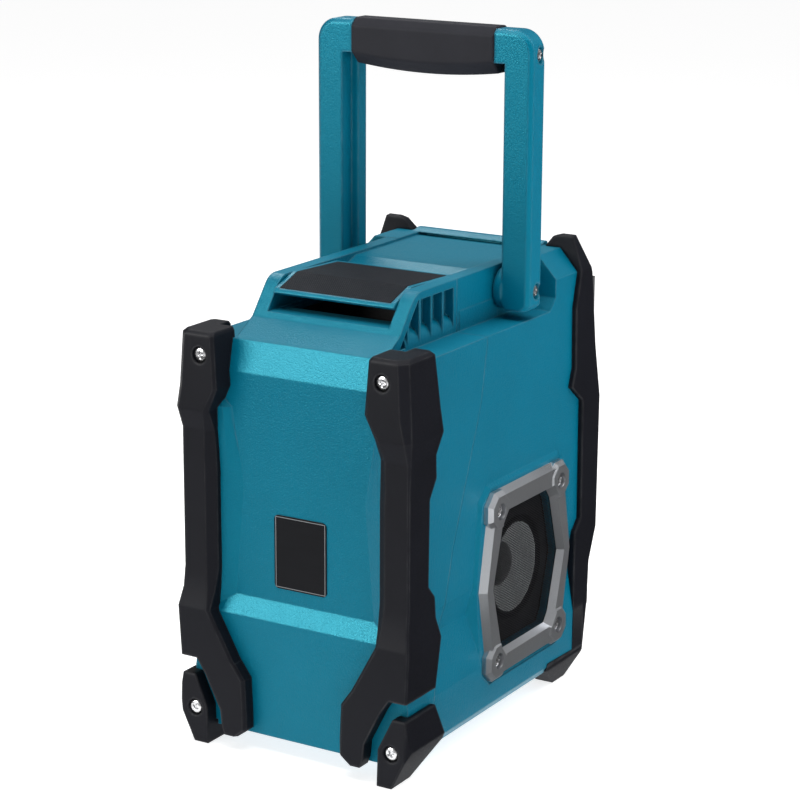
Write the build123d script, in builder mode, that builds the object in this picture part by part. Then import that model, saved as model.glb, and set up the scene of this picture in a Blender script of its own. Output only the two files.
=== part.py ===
from build123d import *
import os

# Jobsite radio. All lengths in millimetres.
# +Z is up, -Y is the front with the display, +Y is the back with the rating plate,
# +X is the radio's right side. The origin is on the ground, under the middle of the radio.

# --------------------------------------------------------------------------- casing sizes
wall = 3.0                    # wall of every casing shell
side_half = 73.0              # half width over the flat side walls
sill_half = 76.0              # half width over the lower sill
groove_half = 70.0            # half width in the groove above the sill
base_z = 13.0                 # underside of the casing
sill_edge_z = 18.0            # top of the sill's lower bevel
sill_top_z = 46.0             # top of the sill's upright face
groove_z = 82.0               # bottom of the side groove
groove_top_z = 98.0           # top of the side groove
deck_z = 252.5                # decks beside the rails
lower_back_y = 131.0          # lower back panel
upper_back_y = 125.0          # upper back panel
ledge_low_z = 84.0            # ledge between the two back panels
ledge_high_z = 95.0
lip_z = 10.0                  # lower edge of the lip under the lower back panel
lip_half = 60.0
lip_thickness = 4.0
back_slope_z = 234.0          # where the back starts to lean forward
back_top_y = 119.0            # top edge of the back
front_y = -100.0              # opening that the front cover closes
front_low_y = -93.0           # front edge of the underside
front_low_z = 20.0            # bottom of the front opening's frame
front_high_z = 262.0          # top of the front opening's frame
ear_z = 271.5                 # foot of the bevels on the front block
ear_half = 60.0               # half width of the front block's flat top
block_z = 285.5               # top of the front block
block_back_y = -50.7          # back face of the front block
block_foot_y = -44.0          # foot of the bevel below that face
block_foot_rise = 7.5
block_nose_y = -82.6          # front edge of the block's flat top
corner_cut_x = 71.0           # upright bevel on the front corners
corner_cut_y = 12.0
seam_gap = 0.3                # open joint line between neighbouring shells

# Rails, lid pocket and tray on top
rail_half = 51.6              # half width over the rails
pocket_half = 42.5            # half width of the pocket between the rails
rail_z = 285.3                # top of the rails
rail_knee_y = 83.3            # where the rails start to slope down
rail_knee_radius = 13.0
rail_foot_y = 101.4           # foot of the rails on the rear deck
rail_foot_z = 262.75
tray_z = 283.5                # floor of the tray between the rails
tray_back_y = 0.0             # where the tray floor slopes down to the lid
lid_pocket_y = 18.0           # front wall of the lid pocket
lid_pocket_z = 277.0          # foot of the tray's back slope
shelf_z = 266.0               # shelf around the battery bay
pocket_mouth_y = 101.0        # back end of the lid pocket, the finger slot
rim_half = 47.0               # half length of the bar across the front of the tray
rim_back_y = -77.0
rim_back_z = 285.6
rim_top_y = -83.5
rim_top_z = 287.4
rim_nose_y = -87.0            # front edge of the bar's flat top
rim_under_z = 285.3           # top of the shadow gap below the bar
rim_under_y = -80.0
vent_count = 5                # slots in the outer wall of each rail
vent_pitch = 13.3
vent_slat = 1.8               # thickness of the slats between the slots
vent_start_y = 39.9
vent_low_z = 254.5
vent_high_z = 280.5
vent_margin = 6.5             # wall left between the last slots and the rails' slope
vent_depth = 6.0
vent_scoop = 10.5             # radius of the scoop at the foot of the slots
step_proud = 0.3              # lower step on each rail's outer wall
step_z = 265.0
step_back_y = 33.0
step_front_y = -14.0

# Seam between the rear shell and the main shell, from top to bottom (y, z)
seam_top = (36.0, 248.0)
seam_knee = (43.0, 212.0)
seam_waist = (75.0, 130.0)
seam_foot = (84.0, 97.0)
seam_sill = (88.0, 82.0)
seam_low = (100.0, 46.0)
seam_end_y = 104.0

# --------------------------------------------------------------------------- speakers
speaker_y = -10.6             # centre of each speaker
speaker_z = 94.2
boss_x = 75.0                 # face of the raised boss around each speaker
boss_flare = 10.0             # how far the boss spreads towards its foot
bezel_thickness = 4.5
grille_thickness = 1.0
# Eight-cornered outlines round the speaker: end half width, end height, corner half
# width, corner height and middle half width
sound_hole = (27, 44, 32, 37, 43)
grille_sizes = (30.7, 47.7, 35.7, 38.8, 47.4)
grille_seat = (31, 48, 36, 39, 47.7)
bezel_sizes = (38, 60.8, 47, 52, 57)
bezel_face = (34.8, 57.6, 43.8, 51, 53.8)
bezel_hole_back = (28, 44.5, 33, 38, 44.2)
bezel_hole_front = (30, 47.5, 36, 40.5, 47.4)
lug_radius = 13.5             # corner lugs of the bezel
lug_half_y = 39.0             # bezel screw positions from the speaker centre
lug_half_z = 48.3
lug_rise = 1.0                # how far the lugs stand above the bars
lug_bevel = 2.6
cone_radius = 29.0
surround_radius = 34.0
baffle_half_y = 48.0
baffle_half_z = 51.0
baffle_thickness = 4.0
gasket_thickness = 1.0
magnet_radius = 29.0
magnet_thickness = 14.0
basket_depth = 22.0
cone_depth = 15.0
cone_thickness = 1.0
coil_radius = 9.5             # voice coil former
coil_length = 9.0
cap_radius = 14.0             # dust cap
cone_gap = 0.35               # clearance between moving and fixed speaker parts

# --------------------------------------------------------------------------- handle
pivot_y = -19.5
pivot_rise = 17.7             # pivot height above the decks
handle_height = 160.3         # from the pivot to the top of the handle
leg_inner = 57.7
leg_outer = 76.5
leg_back_y = -8.0
leg_thickness = 17.5
leg_tail = 11.5               # how far the legs reach below the pivot
bridge_inner = 50.3           # where the arms end and the grip begins
bridge_depth = 21.5           # height of the arms' top bar
handle_corner = 14.0          # outer corner radius
arm_bevel = 2.5
arm_drop = 1.2                # how far the arms' tops lie below the top of the grip
flange_back_y = -19.0         # flange along the inner front edge of each leg
flange_front_y = -30.0
flange_width = 12.0
flange_bevel = 2.0
hub_radius = 13.0
hub_gap = 0.8                 # between the hubs and the rails
pivot_radius = 4.0
pivot_clearance = 0.05        # radial clearance of the pivot pins in the casing
pivot_grip = 7.0              # how far the pins reach into the rails
core_radius = 4.0             # steel rod through the grip
grip_drop = 7.0               # how far the grip's ends reach below the arms
grip_sag = 3.5                # how far the grip bows further down in the middle
grip_over = 1.2               # how far the grip stands proud of the arms' faces
grip_bevel = 5.0
grip_nose = 3.5               # extra width of the bevel along the grip's front
grip_low_bevel = 7.5

# --------------------------------------------------------------------------- lid
lid_gap = 0.5                 # between lid and rails
hinge_y = 21.5
hinge_z = 280.0
barrel_radius = 3.0
hinge_pin_radius = 1.5
hinge_clearance = 0.08
hinge_pin_grip = 3.0          # how far the hinge pin reaches into each rail
lid_knee_y = 72.0
lid_knee_z = 285.8
lid_front_z = 284.0
lid_edge_y = 91.0
lid_edge_z = 279.2
lid_thickness = 5.5
mat_thickness = 1.2
mat_margin = 3.0
mat_proud = 0.3

# --------------------------------------------------------------------------- bumpers and feet
bulge_half = 82.0             # widest points of the bumpers
waist_half = 79.5             # half width over the bumpers' waists
bumper_back_y = 141.0         # rearmost face of the rear bumpers
waist_back_y = 136.5
bumper_top_z = 259.0
bumper_cover = 8.0            # how far a bumper reaches inside the casing before it is trimmed
upper_bulge_z = 211.0
upper_waist_z = 198.0
lower_waist_z = 113.0
lower_bulge_z = 86.0
bumper_end_z = 54.5           # where the side flank of the rear bumpers ends
leg_end_z = 8.5               # lower end of the rear bumpers' back legs
facet_rise = 4.5              # height of the back panel's facets beside the bumpers
foot_top_z = 43.2
foot_widest_z = 24.0
foot_low_z = 19.5             # foremost corner of the feet
foot_outer = 82.5
foot_inner = 60.6
foot_tip_half = 71.0          # outer edge of the ground face
foot_front_y = 97.0
foot_tip_y = 120.0
foot_bevel = 3.0
front_bumper_half = 76.4      # half width over the front bumpers
front_bumper_z = 294.0
cap_back_y = -80.0            # rear face of the front bumpers' caps
front_pad_z = 15.0

# --------------------------------------------------------------------------- front cover
cover_back_half = 69.5        # half width of the front cover where it meets the casing
cover_nose_half = 55.4        # half width of its rim
cover_back_low_z = 16.0
cover_nose_low_z = 30.0
cover_nose_high_z = 256.0
nose_y = -141.0               # foremost rim
nose_bevel = 1.5
panel_depth = 9.0             # how far the control panel lies behind the rim
panel_half = 48.0
panel_low_z = 35.0
panel_high_z = 250.0
panel_thickness = 3.0

window_z = 224.0
window_width = 76.0
window_height = 36.0
window_thickness = 2.0
window_ledge = 1.5
key_z = 191.0
key_count = 6
key_pitch = 14.6
key_width = 10.6
key_height = 8.0
key_proud = 2.0
key_travel = 1.0
key_gap = 0.3
key_flange = 1.2
dial_z = 142.0
dial_radius = 28.0
dial_gap = 0.5                # between the dial and the panel
dial_depth = 8.0
dial_dish = 1.5
shaft_radius = 3.0
shaft_clearance = 0.05
board_gap = 3.8               # between panel and main board
board_thickness = 1.6
board_half = 46.0
board_low_z = 104.0
board_high_z = 246.0
post_radius = 3.0
door_half = 40.0
door_low_z = 40.0             # hinge line of the socket door
door_high_z = 99.0
door_thickness = 4.0
door_gap = 0.4
door_barrel = 2.6
door_pin_radius = 1.5
door_ear = 4.0                # thickness of the hinge ears beside the door
bay_half = 36.0
bay_low_z = 48.0
bay_high_z = 94.0
bay_depth = 15.0
tray_wall = 2.0

# --------------------------------------------------------------------------- battery box and inner parts
bay_box_half = 39.0
bay_box_front_y = 26.0
bay_box_back_y = 85.0
bay_box_low_z = 165.0
bay_box_wall = 2.5
bay_box_flange = 3.0
terminal_height = 12.0
amp_half = 42.0
amp_front_y = -84.0
amp_back_y = -28.0
amp_post = 8.0
aerial_radius = 4.0
aerial_y = 111.0
aerial_low_z = 115.0
aerial_high_z = 225.0
aerial_clip = 6.0
plate_low_z = 104.0
plate_high_z = 150.0
plate_left = -16.2
plate_right = 20.8
plate_thickness = 0.5

# --------------------------------------------------------------------------- fasteners
head_radius = 4.4
head_height = 2.6
thread_radius = 2.0
thread_length = 12.0
bumper_thread = 22.0          # longer screws that reach through the bumpers into the casing
driver_slot = 1.3             # width of the cross recess
recess_radius = 5.2           # counterbore around each screw head
recess_depth = 4.0
foot_recess = 3.0             # shallower counterbores in the feet

# --------------------------------------------------------------------------- derived places
pivot_z = deck_z + pivot_rise
handle_top_z = pivot_z + handle_height
bridge_low_z = handle_top_z - bridge_depth
core_z = handle_top_z - bridge_depth / 2 - 5.5
panel_y = nose_y + panel_depth
panel_back_y = panel_y + panel_thickness
board_y = panel_back_y + board_gap
reach = 200.0                 # longer than any cut needs
bezel_x = boss_x + bezel_thickness
lug_x = bezel_x + lug_rise
arm_top_z = handle_top_z - arm_drop
hub_x = rail_half + hub_gap
inner_wall_x = side_half - wall
baffle_x = inner_wall_x - gasket_thickness
top_screw = (63.2, 245.1)     # bumper screws (x, z)
foot_screw = (70.2, 22.0)     # foot screws (x, z)
lug_centres = [
    (speaker_y + y_sign * lug_half_y, speaker_z + z_sign * lug_half_z)
    for y_sign in (-1, 1)
    for z_sign in (-1, 1)
]


def both_sides(points):
    """Closed outline from its right half, mirrored about the vertical axis."""
    return points + [(-across, up) for across, up in reversed(points)]


def frame_outline(end_half, end_z, corner_half, corner_z, middle_half):
    """Eight-cornered outline around the speaker's centre, waisted out at the middle."""
    quarter = [(end_half, end_z), (corner_half, corner_z)]
    right = quarter + [(middle_half, 0)] + [(y, -z) for y, z in reversed(quarter)]
    around = right + [(-y, z) for y, z in reversed(right)]
    return [(speaker_y + y, speaker_z + z) for y, z in around]


# ===========================================================================  screws
def make_screw(length):
    """Pan head screw with a cross recess, its head's seat at the origin and its thread along -Z."""
    with BuildPart() as screw:
        Cylinder(thread_radius, length, align=(Align.CENTER, Align.CENTER, Align.MAX))
        Cylinder(head_radius, head_height, align=(Align.CENTER, Align.CENTER, Align.MIN))
        chamfer(screw.faces().sort_by(Axis.Z)[-1].edges(), head_height * 0.3)
        with BuildSketch(Plane.XY.offset(head_height)):
            Rectangle(head_radius * 1.25, driver_slot)
            Rectangle(driver_slot, head_radius * 1.25)
        extrude(amount=-head_height * 0.65, mode=Mode.SUBTRACT)
    return screw.part


def screws_at(places, direction, length):
    """Copies of one screw, each with its head facing the given direction."""
    screw = make_screw(length)
    with BuildPart() as group:
        for place in places:
            with Locations(Plane(origin=place, z_dir=direction)):
                add(screw)
    return group.part


# ===========================================================================  casing as one block
boss_sizes = (43.5, 63.0, 53.5, 54.5, 59.0)
boss_top = frame_outline(*boss_sizes)
boss_foot = frame_outline(*[size + boss_flare for size in boss_sizes])
facet_outer = 61.0            # the facets end under the bumpers
# Sections of the facets from top to bottom: (z, inner edge, knee's x and height, height at the bumper)
facet_sections = [
    (upper_bulge_z + 8, 57.5, 59.0, 0.2, 0.4),
    (upper_bulge_z + 1, 50.5, 55.0, 4.0, facet_rise + 0.5),
    (165.0, 42.0, 43.5, 0.15, facet_rise),
    (ledge_low_z + 2, 49.0, 50.5, 0.3, facet_rise),
]
side_profile = [
    (lower_back_y, base_z),
    (lower_back_y, ledge_low_z),
    (upper_back_y, ledge_high_z),
    (upper_back_y, back_slope_z),
    (back_top_y, deck_z),
    (block_foot_y, deck_z),
    (block_back_y, deck_z + block_foot_rise),
    (block_back_y, block_z),
    (block_nose_y, block_z),
    (front_y, front_high_z),
    (front_y, front_low_z),
    (front_low_y, base_z),
]
cross_profile = both_sides([
    (sill_half - wall, base_z),
    (sill_half, sill_edge_z),
    (sill_half, sill_top_z),
    (groove_half, groove_z),
    (side_half, groove_top_z),
    (side_half, ear_z),
    (ear_half, block_z),
])

with BuildPart() as casing_block:
    with BuildSketch(Plane.YZ):
        Polygon(*side_profile, align=None)
    extrude(amount=reach, both=True)
    with BuildSketch(Plane.XZ.offset(-reach)):
        Polygon(*cross_profile, align=None)
    extrude(amount=2 * reach, mode=Mode.INTERSECT)
    # Rails and rear deck
    with BuildSketch(Plane.YZ) as rail_outline:
        Polygon(
            (back_top_y, deck_z),
            (rail_foot_y, rail_foot_z),
            (rail_knee_y, rail_z),
            (block_back_y, rail_z),
            (block_back_y, deck_z - wall),
            (back_top_y - wall, deck_z - wall),
            align=None,
        )
        knee = rail_outline.vertices().sort_by_distance((rail_knee_y, rail_z, 0))[0]
        fillet(knee, radius=rail_knee_radius)
    extrude(amount=rail_half, both=True)
    # Low bar across the front of the tray
    with BuildSketch(Plane.YZ):
        Polygon(
            (rim_back_y, rim_under_z - wall),
            (rim_back_y, rim_back_z),
            (rim_top_y, rim_top_z),
            (rim_nose_y, rim_top_z),
            (front_y, front_high_z),
            (block_nose_y, front_high_z),
            align=None,
        )
    extrude(amount=rim_half, both=True)
    # Lower steps on the outer walls of the rails
    with BuildSketch(Plane.YZ):
        Polygon(
            (step_front_y, deck_z - wall),
            (step_front_y, step_z),
            (step_back_y, step_z),
            (step_back_y, deck_z - wall),
            align=None,
        )
    extrude(amount=rail_half + step_proud, both=True)
    # Lip under the lower back panel
    with BuildSketch(Plane.YZ):
        Polygon(
            (lower_back_y, base_z + wall),
            (lower_back_y, lip_z),
            (lower_back_y - lip_thickness, lip_z),
            (lower_back_y - 2 * lip_thickness, base_z + wall),
            align=None,
        )
    extrude(amount=lip_half, both=True)
    # Wedge-shaped facets that fall from the rear bumpers into the back panel
    for side in (1, -1):
        for level, inner, knee_x, knee_rise, rise in facet_sections:
            with BuildSketch(Plane.XY.offset(level)):
                Polygon(
                    (side * facet_outer, upper_back_y - wall / 2),
                    (side * facet_outer, upper_back_y + rise),
                    (side * knee_x, upper_back_y + knee_rise),
                    (side * inner, upper_back_y - 0.3),
                    (side * (inner + 1), upper_back_y - wall / 2),
                    align=None,
                )
        loft(ruled=True)
    # Front corners, drawn back under the front bumpers
    for side in (1, -1):
        with BuildSketch(Plane.XY):
            Polygon(
                (side * corner_cut_x, front_y - 1),
                (side * reach, front_y - 1),
                (side * reach, front_y + corner_cut_y),
                (side * (corner_cut_x + corner_cut_y * 0.55), front_y + corner_cut_y),
                align=None,
            )
        extrude(amount=2 * reach, mode=Mode.SUBTRACT)
    # Raised boss around each speaker, with a flat face for the bezel
    for side in (1, -1):
        with BuildSketch(Plane.YZ.offset(side * boss_x)):
            Polygon(*boss_top, align=None)
        extrude(amount=side * wall, mode=Mode.SUBTRACT)
    with BuildSketch(Plane.YZ.offset(groove_half - wall)):
        Polygon(*boss_foot, align=None)
    with BuildSketch(Plane.YZ.offset(boss_x)):
        Polygon(*boss_top, align=None)
    loft(ruled=True)
    with BuildSketch(Plane.YZ.offset(-groove_half + wall)):
        Polygon(*boss_foot, align=None)
    with BuildSketch(Plane.YZ.offset(-boss_x)):
        Polygon(*boss_top, align=None)
    loft(ruled=True)

# ===========================================================================  casing, hollowed and detailed
with BuildPart() as cavity:
    with BuildSketch(Plane.YZ):
        Polygon(*side_profile, align=None)
        offset(amount=-wall, kind=Kind.INTERSECTION)
    extrude(amount=reach, both=True)
    with BuildSketch(Plane.XZ.offset(-reach)):
        Polygon(*cross_profile, align=None)
        offset(amount=-wall, kind=Kind.INTERSECTION)
    extrude(amount=2 * reach, mode=Mode.INTERSECT)

shelf_low_z = shelf_z - wall
rail_span = (block_back_y + wall, rail_foot_y - wall)

with BuildPart() as casing:
    add(casing_block.part)
    add(cavity.part, mode=Mode.SUBTRACT)
    # Space below the shelf
    with BuildSketch(Plane.YZ):
        Polygon(
            (rail_span[0], deck_z - 2 * wall),
            (rail_span[0], shelf_low_z),
            (rail_span[1], shelf_low_z),
            (rail_span[1] + wall, deck_z - 2 * wall),
            align=None,
        )
    extrude(amount=rail_half - wall, both=True, mode=Mode.SUBTRACT)
    # Opening to the front cover
    with BuildSketch(Plane.XZ.offset(-front_y - 2 * wall)):
        with Locations((0, (front_low_z + front_high_z) / 2)):
            Rectangle(2 * (cover_back_half - 2 * wall), front_high_z - front_low_z - 4 * wall)
    extrude(amount=4 * wall, mode=Mode.SUBTRACT)
    # Tray and lid pocket
    with BuildSketch(Plane.YZ):
        Polygon(
            (pocket_mouth_y, shelf_z),
            (pocket_mouth_y, rail_z + wall),
            (rim_back_y, rail_z + wall),
            (rim_back_y, rim_under_z),
            (rim_under_y, rim_under_z),
            (rim_under_y, tray_z),
            (tray_back_y, tray_z),
            (lid_pocket_y, lid_pocket_z),
            (lid_pocket_y, shelf_z),
            align=None,
        )
    extrude(amount=pocket_half, both=True, mode=Mode.SUBTRACT)
    # Mouth of the battery bay in the shelf
    with BuildSketch(Plane.XY.offset(shelf_low_z - wall)):
        with Locations((0, (bay_box_front_y + bay_box_back_y) / 2)):
            Rectangle(
                2 * (bay_box_half - bay_box_wall),
                bay_box_back_y - bay_box_front_y - 2 * bay_box_wall,
            )
    extrude(amount=3 * wall, mode=Mode.SUBTRACT)
    # Vent slots in the rails, with slats between them and a scoop along their foot
    rail_slope = (rail_foot_y - rail_knee_y) / (rail_z - rail_foot_z)
    vent_top_y = rail_knee_y + (rail_z - vent_high_z) * rail_slope - vent_margin
    vent_end_y = rail_knee_y + (rail_z - vent_low_z) * rail_slope - vent_margin
    for side in (1, -1):
        with BuildSketch(Plane.YZ.offset(side * (rail_half - vent_depth))):
            Polygon(
                (vent_start_y, vent_low_z),
                (vent_start_y, vent_high_z),
                (vent_top_y, vent_high_z),
                (vent_end_y, vent_low_z),
                align=None,
            )
            for number in range(1, vent_count):
                slat_y = vent_start_y + number * vent_pitch - vent_slat / 2
                with Locations((slat_y, (vent_low_z + vent_high_z) / 2)):
                    Rectangle(vent_slat, vent_high_z - vent_low_z, mode=Mode.SUBTRACT)
        extrude(amount=side * (vent_depth + wall), mode=Mode.SUBTRACT)
        with BuildSketch(Plane.XZ.offset(-vent_start_y)):
            with Locations((side * (rail_half - vent_scoop), vent_low_z)):
                Circle(vent_scoop)
            with Locations((side * (rail_half - vent_depth), vent_low_z)):
                Rectangle(
                    4 * vent_scoop,
                    4 * vent_scoop,
                    align=(Align.MAX if side > 0 else Align.MIN, Align.CENTER),
                    mode=Mode.SUBTRACT,
                )
            with Locations((side * rail_half, vent_low_z)):
                Rectangle(
                    4 * vent_scoop,
                    4 * vent_scoop,
                    align=(Align.CENTER, Align.MAX),
                    mode=Mode.SUBTRACT,
                )
        extrude(amount=-(vent_end_y - vent_start_y - vent_margin))
    # Sound openings, each with a seat for the grille
    for side in (1, -1):
        with BuildSketch(Plane.YZ.offset(side * (groove_half - 3 * wall))):
            Polygon(*frame_outline(*sound_hole), align=None)
        extrude(amount=side * 6 * wall, mode=Mode.SUBTRACT)
        with BuildSketch(Plane.YZ.offset(side * (boss_x - grille_thickness))):
            Polygon(*frame_outline(*grille_seat), align=None)
        extrude(amount=side * wall, mode=Mode.SUBTRACT)
    # Flat seats for the speaker gaskets on the inner side of the walls
    for side in (1, -1):
        with BuildSketch(Plane.YZ.offset(side * inner_wall_x)):
            with Locations((speaker_y, speaker_z)):
                Rectangle(2 * baffle_half_y, 2 * baffle_half_z)
            Polygon(*frame_outline(*sound_hole), align=None, mode=Mode.SUBTRACT)
        extrude(amount=side * (boss_x - grille_thickness - inner_wall_x))
        with BuildSketch(Plane.YZ.offset(side * inner_wall_x)):
            with Locations((speaker_y, speaker_z)):
                Rectangle(2 * baffle_half_y, 2 * baffle_half_z)
        extrude(amount=-side * (inner_wall_x - groove_half + 2 * wall), mode=Mode.SUBTRACT)
    # Pilot holes for the bezel screws
    with BuildSketch(Plane.YZ.offset(-reach)):
        with Locations(*lug_centres):
            Circle(thread_radius)
    extrude(amount=2 * reach, mode=Mode.SUBTRACT)
    # Bores for the handle's pivot pins
    with BuildSketch(Plane.YZ.offset(-reach)):
        with Locations((pivot_y, pivot_z)):
            Circle(pivot_radius + pivot_clearance)
    extrude(amount=2 * reach, mode=Mode.SUBTRACT)
    # Seats for the lid's hinge pin
    with BuildSketch(Plane.YZ):
        with Locations((hinge_y, hinge_z)):
            Circle(hinge_pin_radius + hinge_clearance)
    extrude(amount=pocket_half + hinge_pin_grip, both=True, mode=Mode.SUBTRACT)

seam_line = [
    (seam_top[0], rail_z + reach),
    seam_top,
    seam_knee,
    seam_waist,
    seam_foot,
    seam_sill,
    seam_low,
    (seam_end_y, base_z),
    (seam_end_y, base_z - reach),
]

# ===========================================================================  rear shell
with BuildPart() as rear_shell:
    add(casing.part)
    with BuildSketch(Plane.YZ):
        Polygon(*seam_line, (reach, base_z - reach), (reach, rail_z + reach), align=None)
    extrude(amount=reach, both=True, mode=Mode.INTERSECT)
    # Clips for the aerial
    clip_depth = upper_back_y - wall - aerial_y + 2 * aerial_radius
    for clip_z in (aerial_low_z + 10, aerial_high_z - 10):
        with Locations((0, upper_back_y - wall - clip_depth / 2, clip_z)):
            Box(3 * aerial_radius, clip_depth, aerial_clip)
    with Locations((0, aerial_y, (aerial_low_z + aerial_high_z) / 2)):
        Cylinder(aerial_radius, aerial_high_z - aerial_low_z, mode=Mode.SUBTRACT)
    # Pilot holes for the bumper and foot screws
    with BuildSketch(Plane.XZ.offset(-bumper_back_y)):
        with Locations(top_screw, (-top_screw[0], top_screw[1]), foot_screw, (-foot_screw[0], foot_screw[1])):
            Circle(thread_radius)
    extrude(amount=bumper_back_y - aerial_y, mode=Mode.SUBTRACT)
rear_shell.part.label = "rear_shell"

# ===========================================================================  main shell
with BuildPart() as main_shell:
    add(casing.part)
    with BuildSketch(Plane.YZ):
        Polygon(
            *[(y - seam_gap, z) for y, z in seam_line],
            (-reach, base_z - reach),
            (-reach, rail_z + reach),
            align=None,
        )
    extrude(amount=reach, both=True, mode=Mode.INTERSECT)
    # Posts for the amplifier board on the floor
    with BuildSketch(Plane.XY.offset(base_z + wall)):
        for post_x in (-amp_half + post_radius, amp_half - post_radius):
            with Locations((post_x, amp_front_y + post_radius), (post_x, amp_back_y - post_radius)):
                Circle(post_radius)
    extrude(amount=amp_post)
main_shell.part.label = "main_shell"

# ===========================================================================  front cover
with BuildPart() as front_cover:
    with BuildSketch(Plane.XZ.offset(-front_y)):
        with Locations((0, (cover_back_low_z + front_high_z) / 2)):
            Rectangle(2 * cover_back_half, front_high_z - cover_back_low_z)
    for section_y, inset in ((nose_y + nose_bevel, 0), (nose_y, nose_bevel)):
        with BuildSketch(Plane.XZ.offset(-section_y)):
            with Locations((0, (cover_nose_low_z + cover_nose_high_z) / 2)):
                Rectangle(
                    2 * (cover_nose_half - inset),
                    cover_nose_high_z - cover_nose_low_z - 2 * inset,
                )
    loft(ruled=True)
    # Hollow behind the panel
    with BuildSketch(Plane.XZ.offset(-front_y)):
        with Locations((0, (cover_back_low_z + front_high_z) / 2)):
            Rectangle(2 * (cover_back_half - wall), front_high_z - cover_back_low_z - 2 * wall)
    with BuildSketch(Plane.XZ.offset(-panel_back_y)):
        with Locations((0, (cover_nose_low_z + cover_nose_high_z) / 2)):
            Rectangle(2 * (cover_nose_half - wall), cover_nose_high_z - cover_nose_low_z - 2 * wall)
    loft(ruled=True, mode=Mode.SUBTRACT)
    # Recess in front of the panel
    with BuildSketch(Plane.XZ.offset(-panel_y)):
        with Locations((0, (panel_low_z + panel_high_z) / 2)):
            RectangleRounded(2 * panel_half, panel_high_z - panel_low_z, 4)
    extrude(amount=panel_depth + wall, mode=Mode.SUBTRACT)
    # Window, key holes, encoder hole and the mouth of the socket bay
    with BuildSketch(Plane.XZ.offset(-panel_back_y)):
        with Locations((0, window_z)):
            Rectangle(window_width - 2 * window_ledge, window_height - 2 * window_ledge)
        with Locations((0, key_z)):
            with GridLocations(key_pitch, 1, key_count, 1):
                Rectangle(key_width + 2 * key_gap, key_height + 2 * key_gap)
        with Locations((0, dial_z)):
            Circle(shaft_radius + 1.5)
        with Locations((0, (bay_low_z + bay_high_z) / 2)):
            Rectangle(2 * bay_half, bay_high_z - bay_low_z)
    extrude(amount=panel_thickness, mode=Mode.SUBTRACT)
    with BuildSketch(Plane.XZ.offset(-panel_y)):
        with Locations((0, window_z)):
            Rectangle(window_width, window_height)
    extrude(amount=-window_thickness, mode=Mode.SUBTRACT)
    # Posts that carry the main board
    with BuildSketch(Plane.XZ.offset(-panel_back_y)):
        for post_x in (-board_half + post_radius, board_half - post_radius):
            with Locations((post_x, board_low_z + post_radius), (post_x, board_high_z - post_radius)):
                Circle(post_radius)
    extrude(amount=-board_gap)
    # Hinge ears for the socket door
    door_axis_y = panel_y - door_gap - door_barrel
    for side in (1, -1):
        ear_x = side * (door_half + door_gap + door_ear / 2)
        with Locations((ear_x, (panel_y + door_axis_y - door_barrel) / 2, door_low_z)):
            Box(door_ear, panel_y - door_axis_y + door_barrel, 2 * door_barrel)
    with Locations((0, door_axis_y, door_low_z)):
        Cylinder(
            door_pin_radius,
            2 * (door_half + door_gap + door_ear),
            rotation=(0, 90, 0),
            mode=Mode.SUBTRACT,
        )
front_cover.part.label = "front_cover"

# ===========================================================================  display and window
with BuildPart() as display_window:
    with BuildSketch(Plane.XZ.offset(-panel_y)):
        with Locations((0, window_z)):
            Rectangle(window_width - 0.2, window_height - 0.2)
    extrude(amount=-window_thickness)
display_window.part.label = "display_window"

module_back_y = board_y
with BuildPart() as display_module:
    with BuildSketch(Plane.XZ.offset(-module_back_y)):
        with Locations((0, window_z)):
            Rectangle(window_width - 4 * window_ledge, window_height - 4 * window_ledge)
    extrude(amount=module_back_y - panel_back_y + 0.8)
display_module.part.label = "display_module"

with BuildPart() as main_board:
    with BuildSketch(Plane.XZ.offset(-board_y)):
        with Locations((0, (board_low_z + board_high_z) / 2)):
            Rectangle(2 * board_half, board_high_z - board_low_z)
    extrude(amount=-board_thickness)
main_board.part.label = "main_board"

# ===========================================================================  keys
key_flange_y = panel_back_y + 0.1
key_back_y = key_flange_y + key_flange
pad_y = key_back_y + key_travel + 0.1


def make_key(number):
    """Key cap with a flange behind the panel."""
    centre_x = (number - (key_count - 1) / 2) * key_pitch
    with BuildPart() as key:
        with BuildSketch(Plane.XZ.offset(-key_back_y)):
            with Locations((centre_x, key_z)):
                Rectangle(key_width, key_height)
        extrude(amount=key_back_y - panel_y + key_proud)
        chamfer(key.faces().sort_by(Axis.Y)[0].edges(), 0.5)
        with BuildSketch(Plane.XZ.offset(-key_back_y)):
            with Locations((centre_x, key_z)):
                Rectangle(key_width + 2, key_height + 2)
        extrude(amount=key_flange)
    return key.part


with BuildPart() as button_pad:
    with BuildSketch(Plane.XZ.offset(-board_y)):
        with Locations((0, key_z)):
            Rectangle(key_count * key_pitch, key_height + 4)
    extrude(amount=board_y - pad_y)
button_pad.part.label = "button_pad"

# ===========================================================================  control dial
dial_back_y = panel_y - dial_gap
dial_front_y = dial_back_y - dial_depth
with BuildPart() as control_dial:
    with BuildSketch(Plane.XZ.offset(-dial_back_y)):
        with Locations((0, dial_z)):
            Circle(dial_radius)
    extrude(amount=dial_depth, taper=6)
    with BuildSketch(Plane.XZ.offset(-dial_front_y)):
        with Locations((0, dial_z)):
            Circle(dial_radius - 6)
    extrude(amount=-dial_dish, taper=20, mode=Mode.SUBTRACT)
    # Finger notches around the rim
    with BuildSketch(Plane.XZ.offset(-dial_back_y)):
        with Locations((0, dial_z)):
            with PolarLocations(dial_radius + 0.6, 24):
                Circle(1.5)
    extrude(amount=dial_depth + 1, mode=Mode.SUBTRACT)
    with BuildSketch(Plane.XZ.offset(-dial_back_y)):
        with Locations((0, dial_z)):
            Circle(shaft_radius)
    extrude(amount=dial_depth - dial_dish - 2, mode=Mode.SUBTRACT)
control_dial.part.label = "control_dial"

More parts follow.
